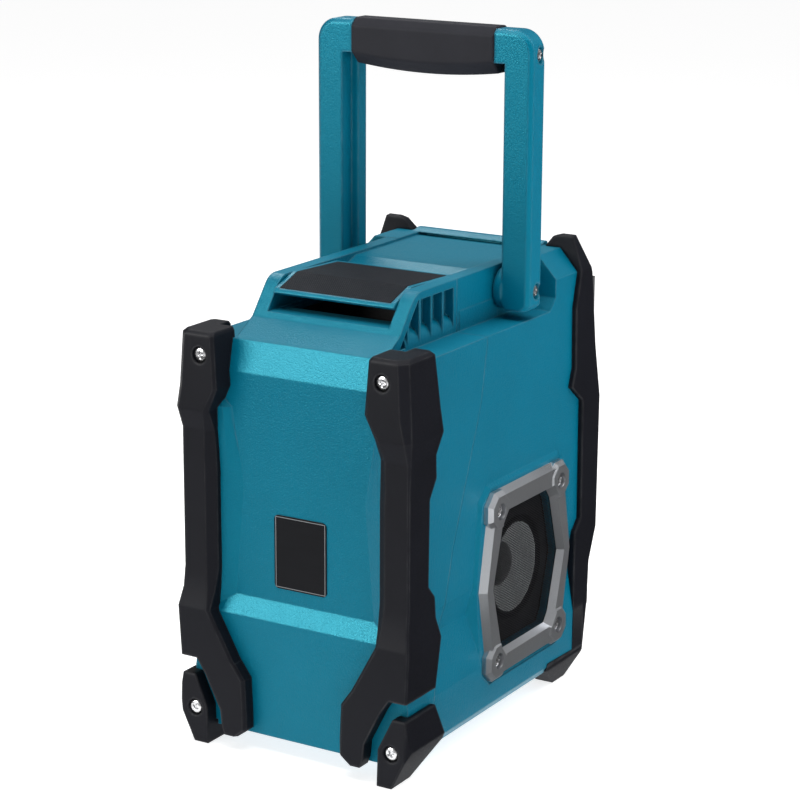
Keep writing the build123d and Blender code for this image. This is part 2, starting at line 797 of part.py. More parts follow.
shaft_end_y = dial_back_y - dial_depth + dial_dish + 2
with BuildPart() as dial_shaft:
    with BuildSketch(Plane.XZ.offset(-(board_y - 1))):
        with Locations((0, dial_z)):
            Circle(shaft_radius)
    extrude(amount=board_y - 1 - shaft_end_y)
dial_shaft.part.label = "dial_shaft"

with BuildPart() as dial_encoder:
    with BuildSketch(Plane.XZ.offset(-board_y)):
        with Locations((0, dial_z)):
            Rectangle(14, 14)
    extrude(amount=board_gap)
    with BuildSketch(Plane.XZ.offset(-(board_y - 0.9))):
        with Locations((0, dial_z)):
            Circle(shaft_radius + shaft_clearance)
    extrude(amount=board_gap, mode=Mode.SUBTRACT)
dial_encoder.part.label = "dial_encoder"

# ===========================================================================  socket door and sockets
with BuildPart() as socket_door:
    with BuildSketch(Plane.YZ.offset(-door_half)):
        with Locations((door_axis_y, door_low_z)):
            Circle(door_barrel)
        Polygon(
            (door_axis_y + door_barrel, door_low_z),
            (door_axis_y + door_barrel, door_high_z),
            (door_axis_y + door_barrel - door_thickness + 1, door_high_z),
            (door_axis_y + door_barrel - door_thickness - 1, door_high_z - 8),
            (door_axis_y - door_barrel, door_low_z),
            align=None,
        )
    extrude(amount=2 * door_half)
    with Locations((0, door_axis_y, door_low_z)):
        Cylinder(door_pin_radius + hinge_clearance, 3 * door_half, rotation=(0, 90, 0), mode=Mode.SUBTRACT)
socket_door.part.label = "socket_door"

with BuildPart() as door_hinge_pin:
    with Locations((0, door_axis_y, door_low_z)):
        Cylinder(door_pin_radius, 2 * (door_half + door_gap + door_ear), rotation=(0, 90, 0))
door_hinge_pin.part.label = "door_hinge_pin"

bay_middle_z = (bay_low_z + bay_high_z) / 2
bay_height = bay_high_z - bay_low_z
with BuildPart() as socket_tray:
    with BuildSketch(Plane.XZ.offset(-(panel_back_y + bay_depth))):
        with Locations((0, bay_middle_z)):
            Rectangle(2 * (bay_half + tray_wall), bay_height + 2 * tray_wall)
    extrude(amount=bay_depth)
    with BuildSketch(Plane.XZ.offset(-(panel_back_y + bay_depth - tray_wall))):
        with Locations((0, bay_middle_z)):
            Rectangle(2 * bay_half, bay_height)
    extrude(amount=bay_depth, mode=Mode.SUBTRACT)
    # Openings for the three sockets
    with BuildSketch(Plane.XZ.offset(-(panel_back_y + bay_depth))):
        with Locations((-22, bay_middle_z)):
            Rectangle(14, 14)
        with Locations((0, bay_middle_z)):
            Rectangle(18, 10)
        with Locations((22, bay_middle_z)):
            Rectangle(14, 14)
    extrude(amount=bay_depth, mode=Mode.SUBTRACT)
socket_tray.part.label = "socket_tray"

socket_face_y = panel_back_y + bay_depth - tray_wall - 2
with BuildPart() as sockets:
    # Power inlet, charging port and audio jack, side by side
    with BuildSketch(Plane.XZ.offset(-(socket_face_y + 12))):
        with Locations((-22, bay_middle_z)):
            Rectangle(14, 14)
        with Locations((0, bay_middle_z)):
            Rectangle(18, 10)
        with Locations((22, bay_middle_z)):
            Rectangle(14, 14)
    extrude(amount=12)
    with BuildSketch(Plane.XZ.offset(-(socket_face_y + 10))):
        with Locations((-22, bay_middle_z)):
            Circle(3.2)
            Circle(1.0, mode=Mode.SUBTRACT)
        with Locations((0, bay_middle_z)):
            Rectangle(13.1, 5.6)
        with Locations((22, bay_middle_z)):
            Circle(1.8)
    extrude(amount=12, mode=Mode.SUBTRACT)
sockets.part.label = "sockets"

# ===========================================================================  top lid
lid_half = pocket_half - lid_gap
mat_seat = [
    (hinge_y + 2 + mat_margin, lid_front_z - mat_thickness),
    (lid_knee_y, lid_knee_z - mat_thickness),
    (lid_edge_y, lid_edge_z - mat_thickness),
]
with BuildPart() as top_lid:
    with BuildSketch(Plane.YZ.offset(-lid_half)):
        with Locations((hinge_y, hinge_z)):
            Circle(barrel_radius)
        Polygon(
            (hinge_y, hinge_z - barrel_radius),
            (hinge_y - 1, hinge_z + barrel_radius),
            (hinge_y + 2, lid_front_z),
            (lid_knee_y, lid_knee_z),
            (lid_edge_y, lid_edge_z),
            (lid_edge_y + 2, lid_edge_z - 2.4),
            (lid_edge_y - 0.5, lid_edge_z - 4),
            (lid_knee_y - 1, lid_knee_z - lid_thickness),
            align=None,
        )
    extrude(amount=2 * lid_half)
    # Seat for the mat
    with BuildSketch(Plane.YZ.offset(-lid_half + mat_margin)):
        Polygon(
            *mat_seat,
            (lid_edge_y, lid_edge_z + 2),
            (lid_knee_y, lid_knee_z + 2),
            (hinge_y + 2 + mat_margin, lid_front_z + 2),
            align=None,
        )
    extrude(amount=2 * (lid_half - mat_margin), mode=Mode.SUBTRACT)
    with BuildSketch(Plane.YZ.offset(-reach)):
        with Locations((hinge_y, hinge_z)):
            Circle(hinge_pin_radius + hinge_clearance)
    extrude(amount=2 * reach, mode=Mode.SUBTRACT)
top_lid.part.label = "top_lid"

with BuildPart() as lid_mat:
    with BuildSketch(Plane.YZ.offset(-lid_half + mat_margin)):
        Polygon(
            *mat_seat,
            (lid_edge_y, lid_edge_z + mat_proud),
            (lid_knee_y, lid_knee_z + mat_proud),
            (hinge_y + 2 + mat_margin, lid_front_z + mat_proud),
            align=None,
        )
    extrude(amount=2 * (lid_half - mat_margin))
lid_mat.part.label = "lid_mat"

with BuildPart() as lid_hinge_pin:
    with Locations((0, hinge_y, hinge_z)):
        Cylinder(hinge_pin_radius, 2 * (pocket_half + hinge_pin_grip), rotation=(0, 90, 0))
lid_hinge_pin.part.label = "lid_hinge_pin"

# ===========================================================================  battery box
bay_box_length = bay_box_back_y - bay_box_front_y
bay_box_middle_y = (bay_box_back_y + bay_box_front_y) / 2
with BuildPart() as battery_box:
    with BuildSketch(Plane.XY.offset(bay_box_low_z)):
        with Locations((0, bay_box_middle_y)):
            Rectangle(2 * bay_box_half, bay_box_length)
    extrude(amount=shelf_low_z - bay_box_low_z)
    with BuildSketch(Plane.XY.offset(shelf_low_z)):
        with Locations((0, bay_box_middle_y)):
            Rectangle(2 * (bay_box_half + bay_box_flange), bay_box_length)
    extrude(amount=-bay_box_wall)
    with BuildSketch(Plane.XY.offset(bay_box_low_z + bay_box_wall)):
        with Locations((0, bay_box_middle_y)):
            Rectangle(2 * (bay_box_half - bay_box_wall), bay_box_length - 2 * bay_box_wall)
    extrude(amount=reach, mode=Mode.SUBTRACT)
battery_box.part.label = "battery_box"

with BuildPart() as terminal_block:
    with BuildSketch(Plane.XY.offset(bay_box_low_z + bay_box_wall)):
        with Locations((0, bay_box_front_y + 16)):
            Rectangle(32, 18)
    extrude(amount=terminal_height)
    # Blade slots
    with BuildSketch(Plane.XY.offset(bay_box_low_z + bay_box_wall + terminal_height)):
        with Locations((0, bay_box_front_y + 16)):
            with GridLocations(10, 1, 3, 1):
                Rectangle(2.2, 12)
    extrude(amount=-terminal_height * 0.7, mode=Mode.SUBTRACT)
terminal_block.part.label = "terminal_block"

with BuildPart() as amplifier_board:
    amp_z = base_z + wall + amp_post
    with BuildSketch(Plane.XY.offset(amp_z)):
        with Locations((0, (amp_front_y + amp_back_y) / 2)):
            Rectangle(2 * amp_half, amp_back_y - amp_front_y)
    extrude(amount=board_thickness)
    # Heat sink fins, then two capacitors
    with BuildSketch(Plane.XY.offset(amp_z + board_thickness)):
        with Locations((0, amp_front_y + 20)):
            Rectangle(50, 22)
    extrude(amount=4)
    with BuildSketch(Plane.XY.offset(amp_z + board_thickness + 4)):
        with Locations((0, amp_front_y + 20)):
            with GridLocations(6, 1, 8, 1):
                Rectangle(2, 22)
    extrude(amount=14)
    with BuildSketch(Plane.XY.offset(amp_z + board_thickness)):
        with Locations((-14, amp_back_y - 12), (14, amp_back_y - 12)):
            Circle(7)
    extrude(amount=20)
amplifier_board.part.label = "amplifier_board"

with BuildPart() as internal_aerial:
    with Locations((0, aerial_y, (aerial_low_z + aerial_high_z) / 2)):
        Cylinder(aerial_radius, aerial_high_z - aerial_low_z)
internal_aerial.part.label = "internal_aerial"

with BuildPart() as rating_plate:
    with BuildSketch(Plane.XZ.offset(-upper_back_y - plate_thickness)):
        with Locations(((plate_left + plate_right) / 2, (plate_low_z + plate_high_z) / 2)):
            RectangleRounded(plate_right - plate_left, plate_high_z - plate_low_z, 3)
    extrude(amount=plate_thickness)
rating_plate.part.label = "rating_plate"

# ===========================================================================  speakers (right side)
speaker_axis = Plane(origin=(0, speaker_y, speaker_z), x_dir=(0, 1, 0), z_dir=(1, 0, 0))
baffle_inner_x = baffle_x - baffle_thickness
basket_back_x = baffle_inner_x - basket_depth
# Turning profiles lie in the plane that holds the speaker's axis: (distance along X, radius)
turning_plane = Plane(origin=(0, speaker_y, speaker_z), x_dir=(1, 0, 0), z_dir=(0, -1, 0))
turning_axis = Axis((0, speaker_y, speaker_z), (1, 0, 0))

with BuildPart() as speaker_gasket_right:
    with BuildSketch(Plane.YZ.offset(baffle_x)):
        with Locations((speaker_y, speaker_z)):
            Rectangle(2 * baffle_half_y - 1, 2 * baffle_half_z - 1)
        Polygon(*frame_outline(*sound_hole), align=None, mode=Mode.SUBTRACT)
    extrude(amount=gasket_thickness)

with BuildPart() as speaker_basket_right:
    with BuildSketch(speaker_axis.offset(baffle_inner_x)):
        Rectangle(2 * baffle_half_y - 1, 2 * baffle_half_z - 1)
        Circle(surround_radius, mode=Mode.SUBTRACT)
    extrude(amount=baffle_thickness)
    # Open cone-shaped frame that carries the magnet
    with BuildSketch(turning_plane):
        Polygon(
            (baffle_inner_x, surround_radius),
            (baffle_inner_x, surround_radius + 3),
            (basket_back_x, magnet_radius - 4),
            (basket_back_x, coil_radius + 3),
            (basket_back_x + 2, coil_radius + 3),
            (basket_back_x + 2, magnet_radius - 6),
            align=None,
        )
    revolve(axis=turning_axis)

with BuildPart() as speaker_magnet_right:
    with BuildSketch(turning_plane):
        Polygon(
            (basket_back_x, coil_radius + cone_gap + 1),
            (basket_back_x, magnet_radius),
            (basket_back_x - magnet_thickness, magnet_radius),
            (basket_back_x - magnet_thickness, 0),
            (basket_back_x, 0),
            (basket_back_x, coil_radius - 1 - cone_gap),
            (basket_back_x - magnet_thickness + 4, coil_radius - 1 - cone_gap),
            (basket_back_x - magnet_thickness + 4, coil_radius + cone_gap + 1),
            align=None,
        )
    revolve(axis=turning_axis)

cone_rim_x = baffle_x - 1
cone_throat_x = cone_rim_x - cone_depth
throat_radius = coil_radius - 0.8
with BuildPart() as speaker_surround_right:
    # Half roll in the baffle's hole
    with BuildSketch(turning_plane):
        with Locations((baffle_inner_x + 1, (surround_radius + cone_radius) / 2)):
            Rectangle(2, surround_radius - cone_radius - 2 * cone_gap, align=(Align.MIN, Align.CENTER))
        with Locations((baffle_inner_x + 3, (surround_radius + cone_radius) / 2)):
            Circle((surround_radius - cone_radius) / 2 - cone_gap)
        with Locations((baffle_inner_x + 1, surround_radius)):
            Rectangle(2, 2 * cone_gap, align=(Align.MIN, Align.MAX))
    revolve(axis=turning_axis)

with BuildPart() as speaker_cone_right:
    with BuildSketch(turning_plane):
        Polygon(
            (cone_rim_x, cone_radius - cone_gap),
            (cone_throat_x, coil_radius),
            (cone_throat_x - coil_length, coil_radius),
            (cone_throat_x - coil_length, throat_radius),
            (cone_throat_x + cone_thickness, throat_radius),
            (cone_rim_x, cone_radius - cone_gap - 2 * cone_thickness),
            align=None,
        )
    revolve(axis=turning_axis)

cone_slope = (cone_depth - cone_thickness) / (cone_radius - cone_gap - 2 * cone_thickness - throat_radius)
cap_seat_x = cone_throat_x + cone_thickness + (cap_radius - throat_radius) * cone_slope
with BuildPart() as dust_cap_right:
    with BuildSketch(turning_plane):
        Polygon(
            (cap_seat_x, cap_radius),
            (cap_seat_x + 2.4, cap_radius * 0.8),
            (cap_seat_x + 4.2, cap_radius * 0.45),
            (cap_seat_x + 4.8, 0),
            (cap_seat_x + 4.0, 0),
            (cap_seat_x + 3.4, cap_radius * 0.42),
            (cap_seat_x + 1.6, cap_radius * 0.76),
            (cap_seat_x - cone_thickness * cone_slope, cap_radius - cone_thickness),
            align=None,
        )
    revolve(axis=turning_axis)

# =========================================================================  speaker grille and bezel (right side)
with BuildPart() as speaker_grille_right:
    with BuildSketch(Plane.YZ.offset(boss_x - grille_thickness)):
        Polygon(*frame_outline(*grille_sizes), align=None)
    extrude(amount=grille_thickness)

with BuildPart() as speaker_bezel_right:
    # Bars with a wide outer bevel
    with BuildSketch(Plane.YZ.offset(boss_x)):
        Polygon(*frame_outline(*bezel_sizes), align=None)
    with BuildSketch(Plane.YZ.offset(bezel_x)):
        Polygon(*frame_outline(*bezel_face), align=None)
    loft(ruled=True)
    # Corner lugs
    with BuildSketch(Plane.YZ.offset(boss_x)):
        with Locations(*lug_centres):
            RegularPolygon(lug_radius, 8, rotation=22.5)
    extrude(amount=bezel_thickness + lug_rise - lug_bevel)
    with BuildSketch(Plane.YZ.offset(lug_x - lug_bevel)):
        with Locations(*lug_centres):
            RegularPolygon(lug_radius, 8, rotation=22.5)
    extrude(amount=lug_bevel, taper=45)
    # Sound opening, wider at the front
    with BuildSketch(Plane.YZ.offset(boss_x)):
        Polygon(*frame_outline(*bezel_hole_back), align=None)
    with BuildSketch(Plane.YZ.offset(lug_x + 0.1)):
        Polygon(*frame_outline(*bezel_hole_front), align=None)
    loft(ruled=True, mode=Mode.SUBTRACT)
    # Screw holes
    with BuildSketch(Plane.YZ.offset(lug_x)):
        with Locations(*lug_centres):
            Circle(recess_radius)
    extrude(amount=-recess_depth, mode=Mode.SUBTRACT)
    with BuildSketch(Plane.YZ.offset(lug_x)):
        with Locations(*lug_centres):
            Circle(thread_radius)
    extrude(amount=-reach / 10, mode=Mode.SUBTRACT)

# ===========================================================================  handle (right side)
with BuildPart() as handle_arm_right:
    with BuildSketch(Plane.XZ.offset(-leg_back_y)) as arm_outline:
        Polygon(
            (leg_inner, pivot_z - leg_tail),
            (leg_outer, pivot_z - leg_tail),
            (leg_outer, arm_top_z),
            (bridge_inner, arm_top_z),
            (bridge_inner, bridge_low_z),
            (leg_inner, bridge_low_z),
            align=None,
        )
        outer_corner = arm_outline.vertices().sort_by(lambda corner: corner.X + corner.Y)[-1]
        fillet(outer_corner, handle_corner)
        chamfer(arm_outline.vertices().sort_by(Axis.Y)[:2], 3)
    extrude(amount=leg_thickness)
    back_edges = handle_arm_right.faces().sort_by(Axis.Y)[-1].edges()
    front_edges = handle_arm_right.faces().sort_by(Axis.Y)[0].edges()
    outer_edges = [
        edge
        for edge in back_edges + front_edges
        if edge.center().X > leg_outer - arm_bevel - 3 or edge.center().Z > arm_top_z - 1
    ]
    chamfer(outer_edges, arm_bevel)
    # Flange along the inner front edge, down the leg and along the top bar
    with BuildSketch(Plane.XZ.offset(-flange_back_y)) as flange_outline:
        Polygon(
            (hub_x, pivot_z - leg_tail),
            (hub_x + flange_width, pivot_z - leg_tail),
            (hub_x + flange_width, arm_top_z - flange_width),
            (hub_x + flange_width / 2, arm_top_z - arm_bevel),
            (bridge_inner, arm_top_z - arm_bevel),
            (bridge_inner, bridge_low_z),
            (hub_x, bridge_low_z - flange_bevel),
            align=None,
        )
    extrude(amount=flange_back_y - flange_front_y)
    chamfer(handle_arm_right.faces().sort_by(Axis.Y)[0].edges(), flange_bevel)
    # Hub that bears against the rail
    with BuildSketch(Plane.YZ.offset(hub_x)):
        with Locations((pivot_y, pivot_z)):
            Circle(hub_radius)
    extrude(amount=leg_inner - hub_x)
    # Stepped bore for the pivot pin and its screw
    with BuildSketch(Plane.YZ.offset(rail_half)):
        with Locations((pivot_y, pivot_z)):
            Circle(pivot_radius)
    extrude(amount=leg_outer - rail_half - 10, mode=Mode.SUBTRACT)
    with BuildSketch(Plane.YZ.offset(rail_half)):
        with Locations((pivot_y, pivot_z), (pivot_y, core_z)):
            Circle(thread_radius + 0.1)
    extrude(amount=reach, mode=Mode.SUBTRACT)
    with BuildSketch(Plane.YZ.offset(leg_outer)):
        with Locations((pivot_y, pivot_z), (pivot_y, core_z)):
            Circle(recess_radius)
    extrude(amount=-recess_depth, mode=Mode.SUBTRACT)
    # Bore for the core rod
    with BuildSketch(Plane.YZ.offset(bridge_inner)):
        with Locations((pivot_y, core_z)):
            Circle(core_radius)
    extrude(amount=leg_outer - 10 - bridge_inner, mode=Mode.SUBTRACT)

screw_seat_x = leg_outer - recess_depth
with BuildPart() as pivot_pin_right:
    with BuildSketch(Plane.YZ.offset(rail_half - pivot_grip)):
        with Locations((pivot_y, pivot_z)):
            Circle(pivot_radius)
    extrude(amount=leg_outer - 10 - rail_half + pivot_grip)
    with BuildSketch(Plane.YZ.offset(leg_outer - 10)):
        with Locations((pivot_y, pivot_z)):
            Circle(thread_radius)
    extrude(amount=-thread_length, mode=Mode.SUBTRACT)

with BuildPart() as handle_core:
    with BuildSketch(Plane.YZ.offset(-(leg_outer - 10))):
        with Locations((pivot_y, core_z)):
            Circle(core_radius)
            Circle(thread_radius, mode=Mode.SUBTRACT)
    extrude(amount=2 * (leg_outer - 10))
handle_core.part.label = "handle_core"

grip_back_y = leg_back_y + grip_over
grip_front_y = flange_front_y - grip_over
grip_low_z = bridge_low_z - grip_drop
with BuildPart() as handle_grip:
    with BuildSketch(Plane.XZ.offset(-grip_back_y)):
        with BuildLine():
            top_left = (-bridge_inner, handle_top_z)
            top_right = (bridge_inner, handle_top_z)
            low_right = (bridge_inner, grip_low_z)
            low_left = (-bridge_inner, grip_low_z)
            Polyline(low_left, top_left, top_right, low_right)
            ThreePointArc(low_right, (0, grip_low_z - grip_sag), low_left)
        make_face()
    extrude(amount=grip_back_y - grip_front_y)
    low_face = handle_grip.faces().filter_by(GeomType.CYLINDER).sort_by(Axis.Z)[0]
    chamfer(low_face.edges().filter_by(GeomType.CIRCLE), grip_low_bevel)
    # Bevels along the top, wider at the front
    with BuildSketch(Plane.YZ.offset(-bridge_inner)):
        Polygon(
            (grip_back_y, grip_low_z - reach),
            (grip_back_y, handle_top_z - grip_bevel),
            (grip_back_y - grip_bevel, handle_top_z),
            (grip_front_y + grip_bevel + grip_nose, handle_top_z),
            (grip_front_y, handle_top_z - grip_bevel - grip_over),
            (grip_front_y, grip_low_z - reach),
            align=None,
        )
    extrude(amount=2 * bridge_inner, mode=Mode.INTERSECT)
    with BuildSketch(Plane.YZ.offset(-bridge_inner)):
        with Locations((pivot_y, core_z)):
            Circle(core_radius)
    extrude(amount=2 * bridge_inner, mode=Mode.SUBTRACT)
handle_grip.part.label = "handle_grip"

# ===========================================================================  rear bumper (right side)
flank_in = side_half - bumper_cover
# Sections from top to bottom: height, inner edge and its bevel, outer edge and its bevel,
# back face, then the flank's front edge (y, x)
rear_sections = [
    (bumper_top_z, 55.0, 2.0, 76.5, 5.0, bumper_back_y - 3, 106.8, 76.5),
    (bumper_top_z - 2, 53.8, 2.0, 78.5, 5.0, bumper_back_y - 1, 104.8, 78.5),
    (upper_bulge_z + 14, 51.5, 2.0, 80.5, 5.0, bumper_back_y, 101.4, 80.5),
    (upper_bulge_z, 58.0, 3.0, bulge_half, 3.5, bumper_back_y, 100.2, bulge_half),
    (upper_waist_z, 58.2, 5.0, waist_half + 0.3, 1.5, waist_back_y, 106.0, waist_half + 1),
    (upper_waist_z - 14, 57.5, 6.0, waist_half, 1.0, waist_back_y, 105.4, waist_half + 1),
    (upper_waist_z - 26, 57.2, 6.0, waist_half, 1.0, waist_back_y, 111.2, waist_half),
    (lower_waist_z + 6, 57.2, 6.0, waist_half, 1.0, waist_back_y, 112.0, waist_half),
    (lower_waist_z - 2, 57.2, 6.0, waist_half, 1.0, waist_back_y, 104.6, waist_half),
    (lower_bulge_z + 12, 58.0, 4.0, waist_half + 0.4, 1.0, waist_back_y + 1.5, 104.0, waist_half + 0.4),
    (lower_bulge_z, 59.0, 2.0, bulge_half, 1.0, bumper_back_y, 101.0, bulge_half),
    (bumper_end_z, 41.5, 2.0, bulge_half - 1.5, 1.0, bumper_back_y - 0.5, 104.7, bulge_half - 1.5),
]
# Sections of the back leg: height, inner edge, outer edge
leg_sections = [
    (bumper_end_z + 0.5, 41.5, 69.0),
    (45.5, 34.6, 62.5),
    (24.0, 33.6, 51.6),
    (leg_end_z + 5, 33.6, 50.6),
    (leg_end_z, 40.0, 48.6),
]
with BuildPart() as rear_bumper_right:
    for level, inner, inner_bevel, outer, corner, back, flank_y, flank_x in rear_sections:
        with BuildSketch(Plane.XY.offset(level)):
            Polygon(
                (inner, back - inner_bevel * 0.75),
                (inner + inner_bevel, back),
                (outer - corner, back),
                (outer, back - corner),
                (flank_x, flank_y + 2),
                (flank_x - 2, flank_y),
                (flank_in, flank_y),
                (flank_in, upper_back_y - bumper_cover),
                (inner, upper_back_y - bumper_cover),
                align=None,
            )
    loft(ruled=True)
    for level, inner, outer in leg_sections:
        with BuildSketch(Plane.XY.offset(level)):
            Polygon(
                (inner, bumper_back_y - 2.5),
                (inner + 2, bumper_back_y - 0.5),
                (outer, bumper_back_y - 0.5),
                (outer, lower_back_y - bumper_cover / 2),
                (inner, lower_back_y - bumper_cover / 2),
                align=None,
            )
    loft(ruled=True)
    add(casing_block.part, mode=Mode.SUBTRACT)
    # The casing's lower back overhang leaves no sliver below it
    with Locations((0, lower_back_y, base_z)):
        Box(2 * reach, 2 * reach, reach, align=(Align.CENTER, Align.MAX, Align.MAX), mode=Mode.SUBTRACT)
    with BuildSketch(Plane.XZ.offset(-bumper_back_y)):
        with Locations(top_screw):
            Circle(recess_radius)
    extrude(amount=recess_depth, mode=Mode.SUBTRACT)
    with BuildSketch(Plane.XZ.offset(-bumper_back_y)):
        with Locations(top_screw):
            Circle(thread_radius)
    extrude(amount=bumper_back_y, mode=Mode.SUBTRACT)

# ===========================================================================  rear foot (right side)
with BuildPart() as rear_foot_right:
    with BuildSketch(Plane.XZ.offset(-bumper_back_y)):
        Polygon(
            (foot_inner + 10, foot_top_z),
            (foot_outer - 3, foot_top_z),
            (foot_outer, foot_widest_z),
            (foot_tip_half, 0),
            (foot_inner, 0),
            (foot_inner + 0.8, foot_low_z + 4),
            align=None,
        )
    extrude(amount=bumper_back_y - foot_front_y)
    with BuildSketch(Plane.YZ):
        Polygon(
            (foot_front_y + 8.6, foot_top_z + 2),
            (bumper_back_y - 1.5, foot_top_z + 2),
            (bumper_back_y, foot_widest_z),
            (bumper_back_y, 0),
            (foot_tip_y, 0),
            (foot_front_y, foot_low_z),
            align=None,
        )
    extrude(amount=reach, mode=Mode.INTERSECT)
    with BuildSketch(Plane.XY):
        Polygon(
            (foot_inner - 1, foot_front_y - 1),
            (foot_outer + 1, foot_front_y - 1),
            (foot_outer + 1, bumper_back_y - foot_bevel - 1),
            (foot_outer - foot_bevel, bumper_back_y),
            (foot_inner - 1, bumper_back_y),
            align=None,
        )
    extrude(amount=reach, mode=Mode.INTERSECT)
    add(casing_block.part, mode=Mode.SUBTRACT)
    with BuildSketch(Plane.XZ.offset(-bumper_back_y)):
        with Locations(foot_screw):
            Circle(recess_radius)
    extrude(amount=foot_recess, mode=Mode.SUBTRACT)
    with BuildSketch(Plane.XZ.offset(-bumper_back_y)):
        with Locations(foot_screw):
            Circle(thread_radius)
    extrude(amount=bumper_back_y, mode=Mode.SUBTRACT)

# ===========================================================================  front bumper (right side)
# Side view of the guard, outer edge then inner edge (y, z)
front_guard = [
    (cap_back_y - 4.5, front_bumper_z),
    (-94.0, 269.5),
    (-100.9, 219.8),
    (-108.6, 184.8),
    (-107.6, 96.5),
    (-98.6, 74.7),
    (-97.1, 47.4),
    (-94.5, 31.0),
    (-91.6, front_pad_z - 2),
    (-77.0, 0),
    (-61.0, 0),
    (-42.0, front_pad_z),
    (-43.0, front_pad_z + 5),
    (-77.7, front_pad_z + 4),
    (-78.0, 99.0),
    (-86.0, 107.0),
    (-85.0, 186.5),
    (-70.0, 198.0),
    (-74.3, 210.0),
    (-73.4, 249.4),
    (-79.0, 271.5),
    (cap_back_y, block_z),
    (cap_back_y, front_bumper_z - 0.5),
]
flank_edge = front_guard[1:8]
flank_reach = 12              # how far the flank runs back over the guard
flank_bevel = (11, 17)        # bevel between the flank and the nose of the guard
flank_nose = (19, 13)
flank_root = 16
with BuildPart() as front_bumper_right:
    with BuildSketch(Plane.YZ.offset(rim_half)):
        Polygon(*front_guard, align=None)
    extrude(amount=reach)
    # Front flank, following the same outer edge
    for side_y, level in flank_edge:
        with BuildSketch(Plane.XY.offset(level)):
            Polygon(
                (front_bumper_half, side_y),
                (front_bumper_half - flank_bevel[0], side_y - flank_bevel[1]),
                (front_bumper_half - flank_nose[0], side_y - flank_nose[1]),
                (front_bumper_half - flank_root, side_y + flank_reach),
                (front_bumper_half, side_y + flank_reach),
                align=None,
            )
    loft(ruled=True)
    with BuildSketch(Plane.XZ.offset(-reach)):
        Polygon(
            (rim_half, block_z - 3),
            (rim_half + 8, front_bumper_z - 1.5),
            (ear_half, front_bumper_z),
            (ear_half + 9, front_bumper_z),
            (front_bumper_half, ear_z + 1),
            (front_bumper_half, ear_z - 20),
            (front_bumper_half, front_pad_z),
            (foot_tip_half, 0),
            (foot_inner - 2, 0),
            (foot_inner - 6, front_pad_z),
            (rim_half, front_pad_z),
            align=None,
        )
    extrude(amount=2 * reach, mode=Mode.INTERSECT)
    add(casing_block.part, mode=Mode.SUBTRACT)
    add(front_cover.part, mode=Mode.SUBTRACT)
    with BuildSketch(Plane.XZ.offset(-front_y)):
        with Locations((0, (cover_back_low_z + front_high_z) / 2)):
            Rectangle(2 * (cover_back_half - 0.5), front_high_z - cover_back_low_z - 1)
    with BuildSketch(Plane.XZ.offset(-nose_y)):
        with Locations((0, (cover_nose_low_z + cover_nose_high_z) / 2)):
            Rectangle(2 * (cover_nose_half - 0.5), cover_nose_high_z - cover_nose_low_z - 1)
    loft(ruled=True, mode=Mode.SUBTRACT)


# ===========================================================================  left side, mirrored
def mirrored(shape):
    """The same piece on the radio's left side."""
    with BuildPart() as other:
        mirror(shape, about=Plane.YZ)
    return other.part


sided = {
    "handle_arm": handle_arm_right,
    "rear_bumper": rear_bumper_right,
    "rear_foot": rear_foot_right,
    "front_bumper": front_bumper_right,
    "speaker_bezel": speaker_bezel_right,
    "speaker_grille": speaker_grille_right,
    "speaker_gasket": speaker_gasket_right,
    "speaker_basket": speaker_basket_right,
    "speaker_magnet": speaker_magnet_right,
    "speaker_surround": speaker_surround_right,
    "speaker_cone": speaker_cone_right,
    "dust_cap": dust_cap_right,
}

# ===========================================================================  fasteners
bumper_screws = screws_at(
    [(side * top_screw[0], bumper_back_y - recess_depth, top_screw[1]) for side in (-1, 1)],
    (0, 1, 0),
    bumper_thread,
)
bumper_screws.label = "bumper_screws"
foot_screws = screws_at(
    [(side * foot_screw[0], bumper_back_y - foot_recess, foot_screw[1]) for side in (-1, 1)],
    (0, 1, 0),
    thread_length,
)
foot_screws.label = "foot_screws"
bezel_thread = lug_x - recess_depth - inner_wall_x
bezel_screws = screws_at([(lug_x - recess_depth, y, z) for y, z in lug_centres], (1, 0, 0), bezel_thread)
handle_screw = screws_at([(screw_seat_x, pivot_y, core_z)], (1, 0, 0), thread_length)
pivot_screw = screws_at([(screw_seat_x, pivot_y, pivot_z)], (1, 0, 0), thread_length)
paired = {
    "bezel_screws": bezel_screws,
    "handle_screws": handle_screw,
    "pivot_screws": pivot_screw,
    "pivot_pins": pivot_pin_right.part,
}

# ===========================================================================  export
os.makedirs("parts", exist_ok=True)
for piece in (
    rear_shell,
    main_shell,
    front_cover,
    display_window,
    display_module,
    main_board,
    button_pad,
    control_dial,
    dial_shaft,
    dial_encoder,
    socket_door,
    door_hinge_pin,
    socket_tray,
    sockets,
    top_lid,
    lid_mat,
    lid_hinge_pin,
    battery_box,
    terminal_block,
    amplifier_board,
    internal_aerial,
    rating_plate,
    handle_core,
    handle_grip,
):
    export_step(piece.part, f"parts/{piece.part.label}.step")
for name, piece in sided.items():
    right = piece.part
    right.label = f"{name}_right"
    export_step(right, f"parts/{right.label}.step")
    left = mirrored(piece.part)
    left.label = f"{name}_left"
    export_step(left, f"parts/{left.label}.step")
for name, right_half in paired.items():
    pair = Compound(label=name, children=[right_half, mirrored(right_half)])
    export_step(pair, f"parts/{name}.step")
export_step(bumper_screws, "parts/bumper_screws.step")
export_step(foot_screws, "parts/foot_screws.step")
key_names = ["power", "source", "preset_1", "preset_2", "preset_3", "preset_4"]
for number, key_name in enumerate(key_names):
    key = make_key(number)
    key.label = f"{key_name}_button"
    export_step(key, f"parts/{key.label}.step")
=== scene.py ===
"""Jobsite radio: finishes, rounded parts, screws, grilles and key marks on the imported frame."""

import math

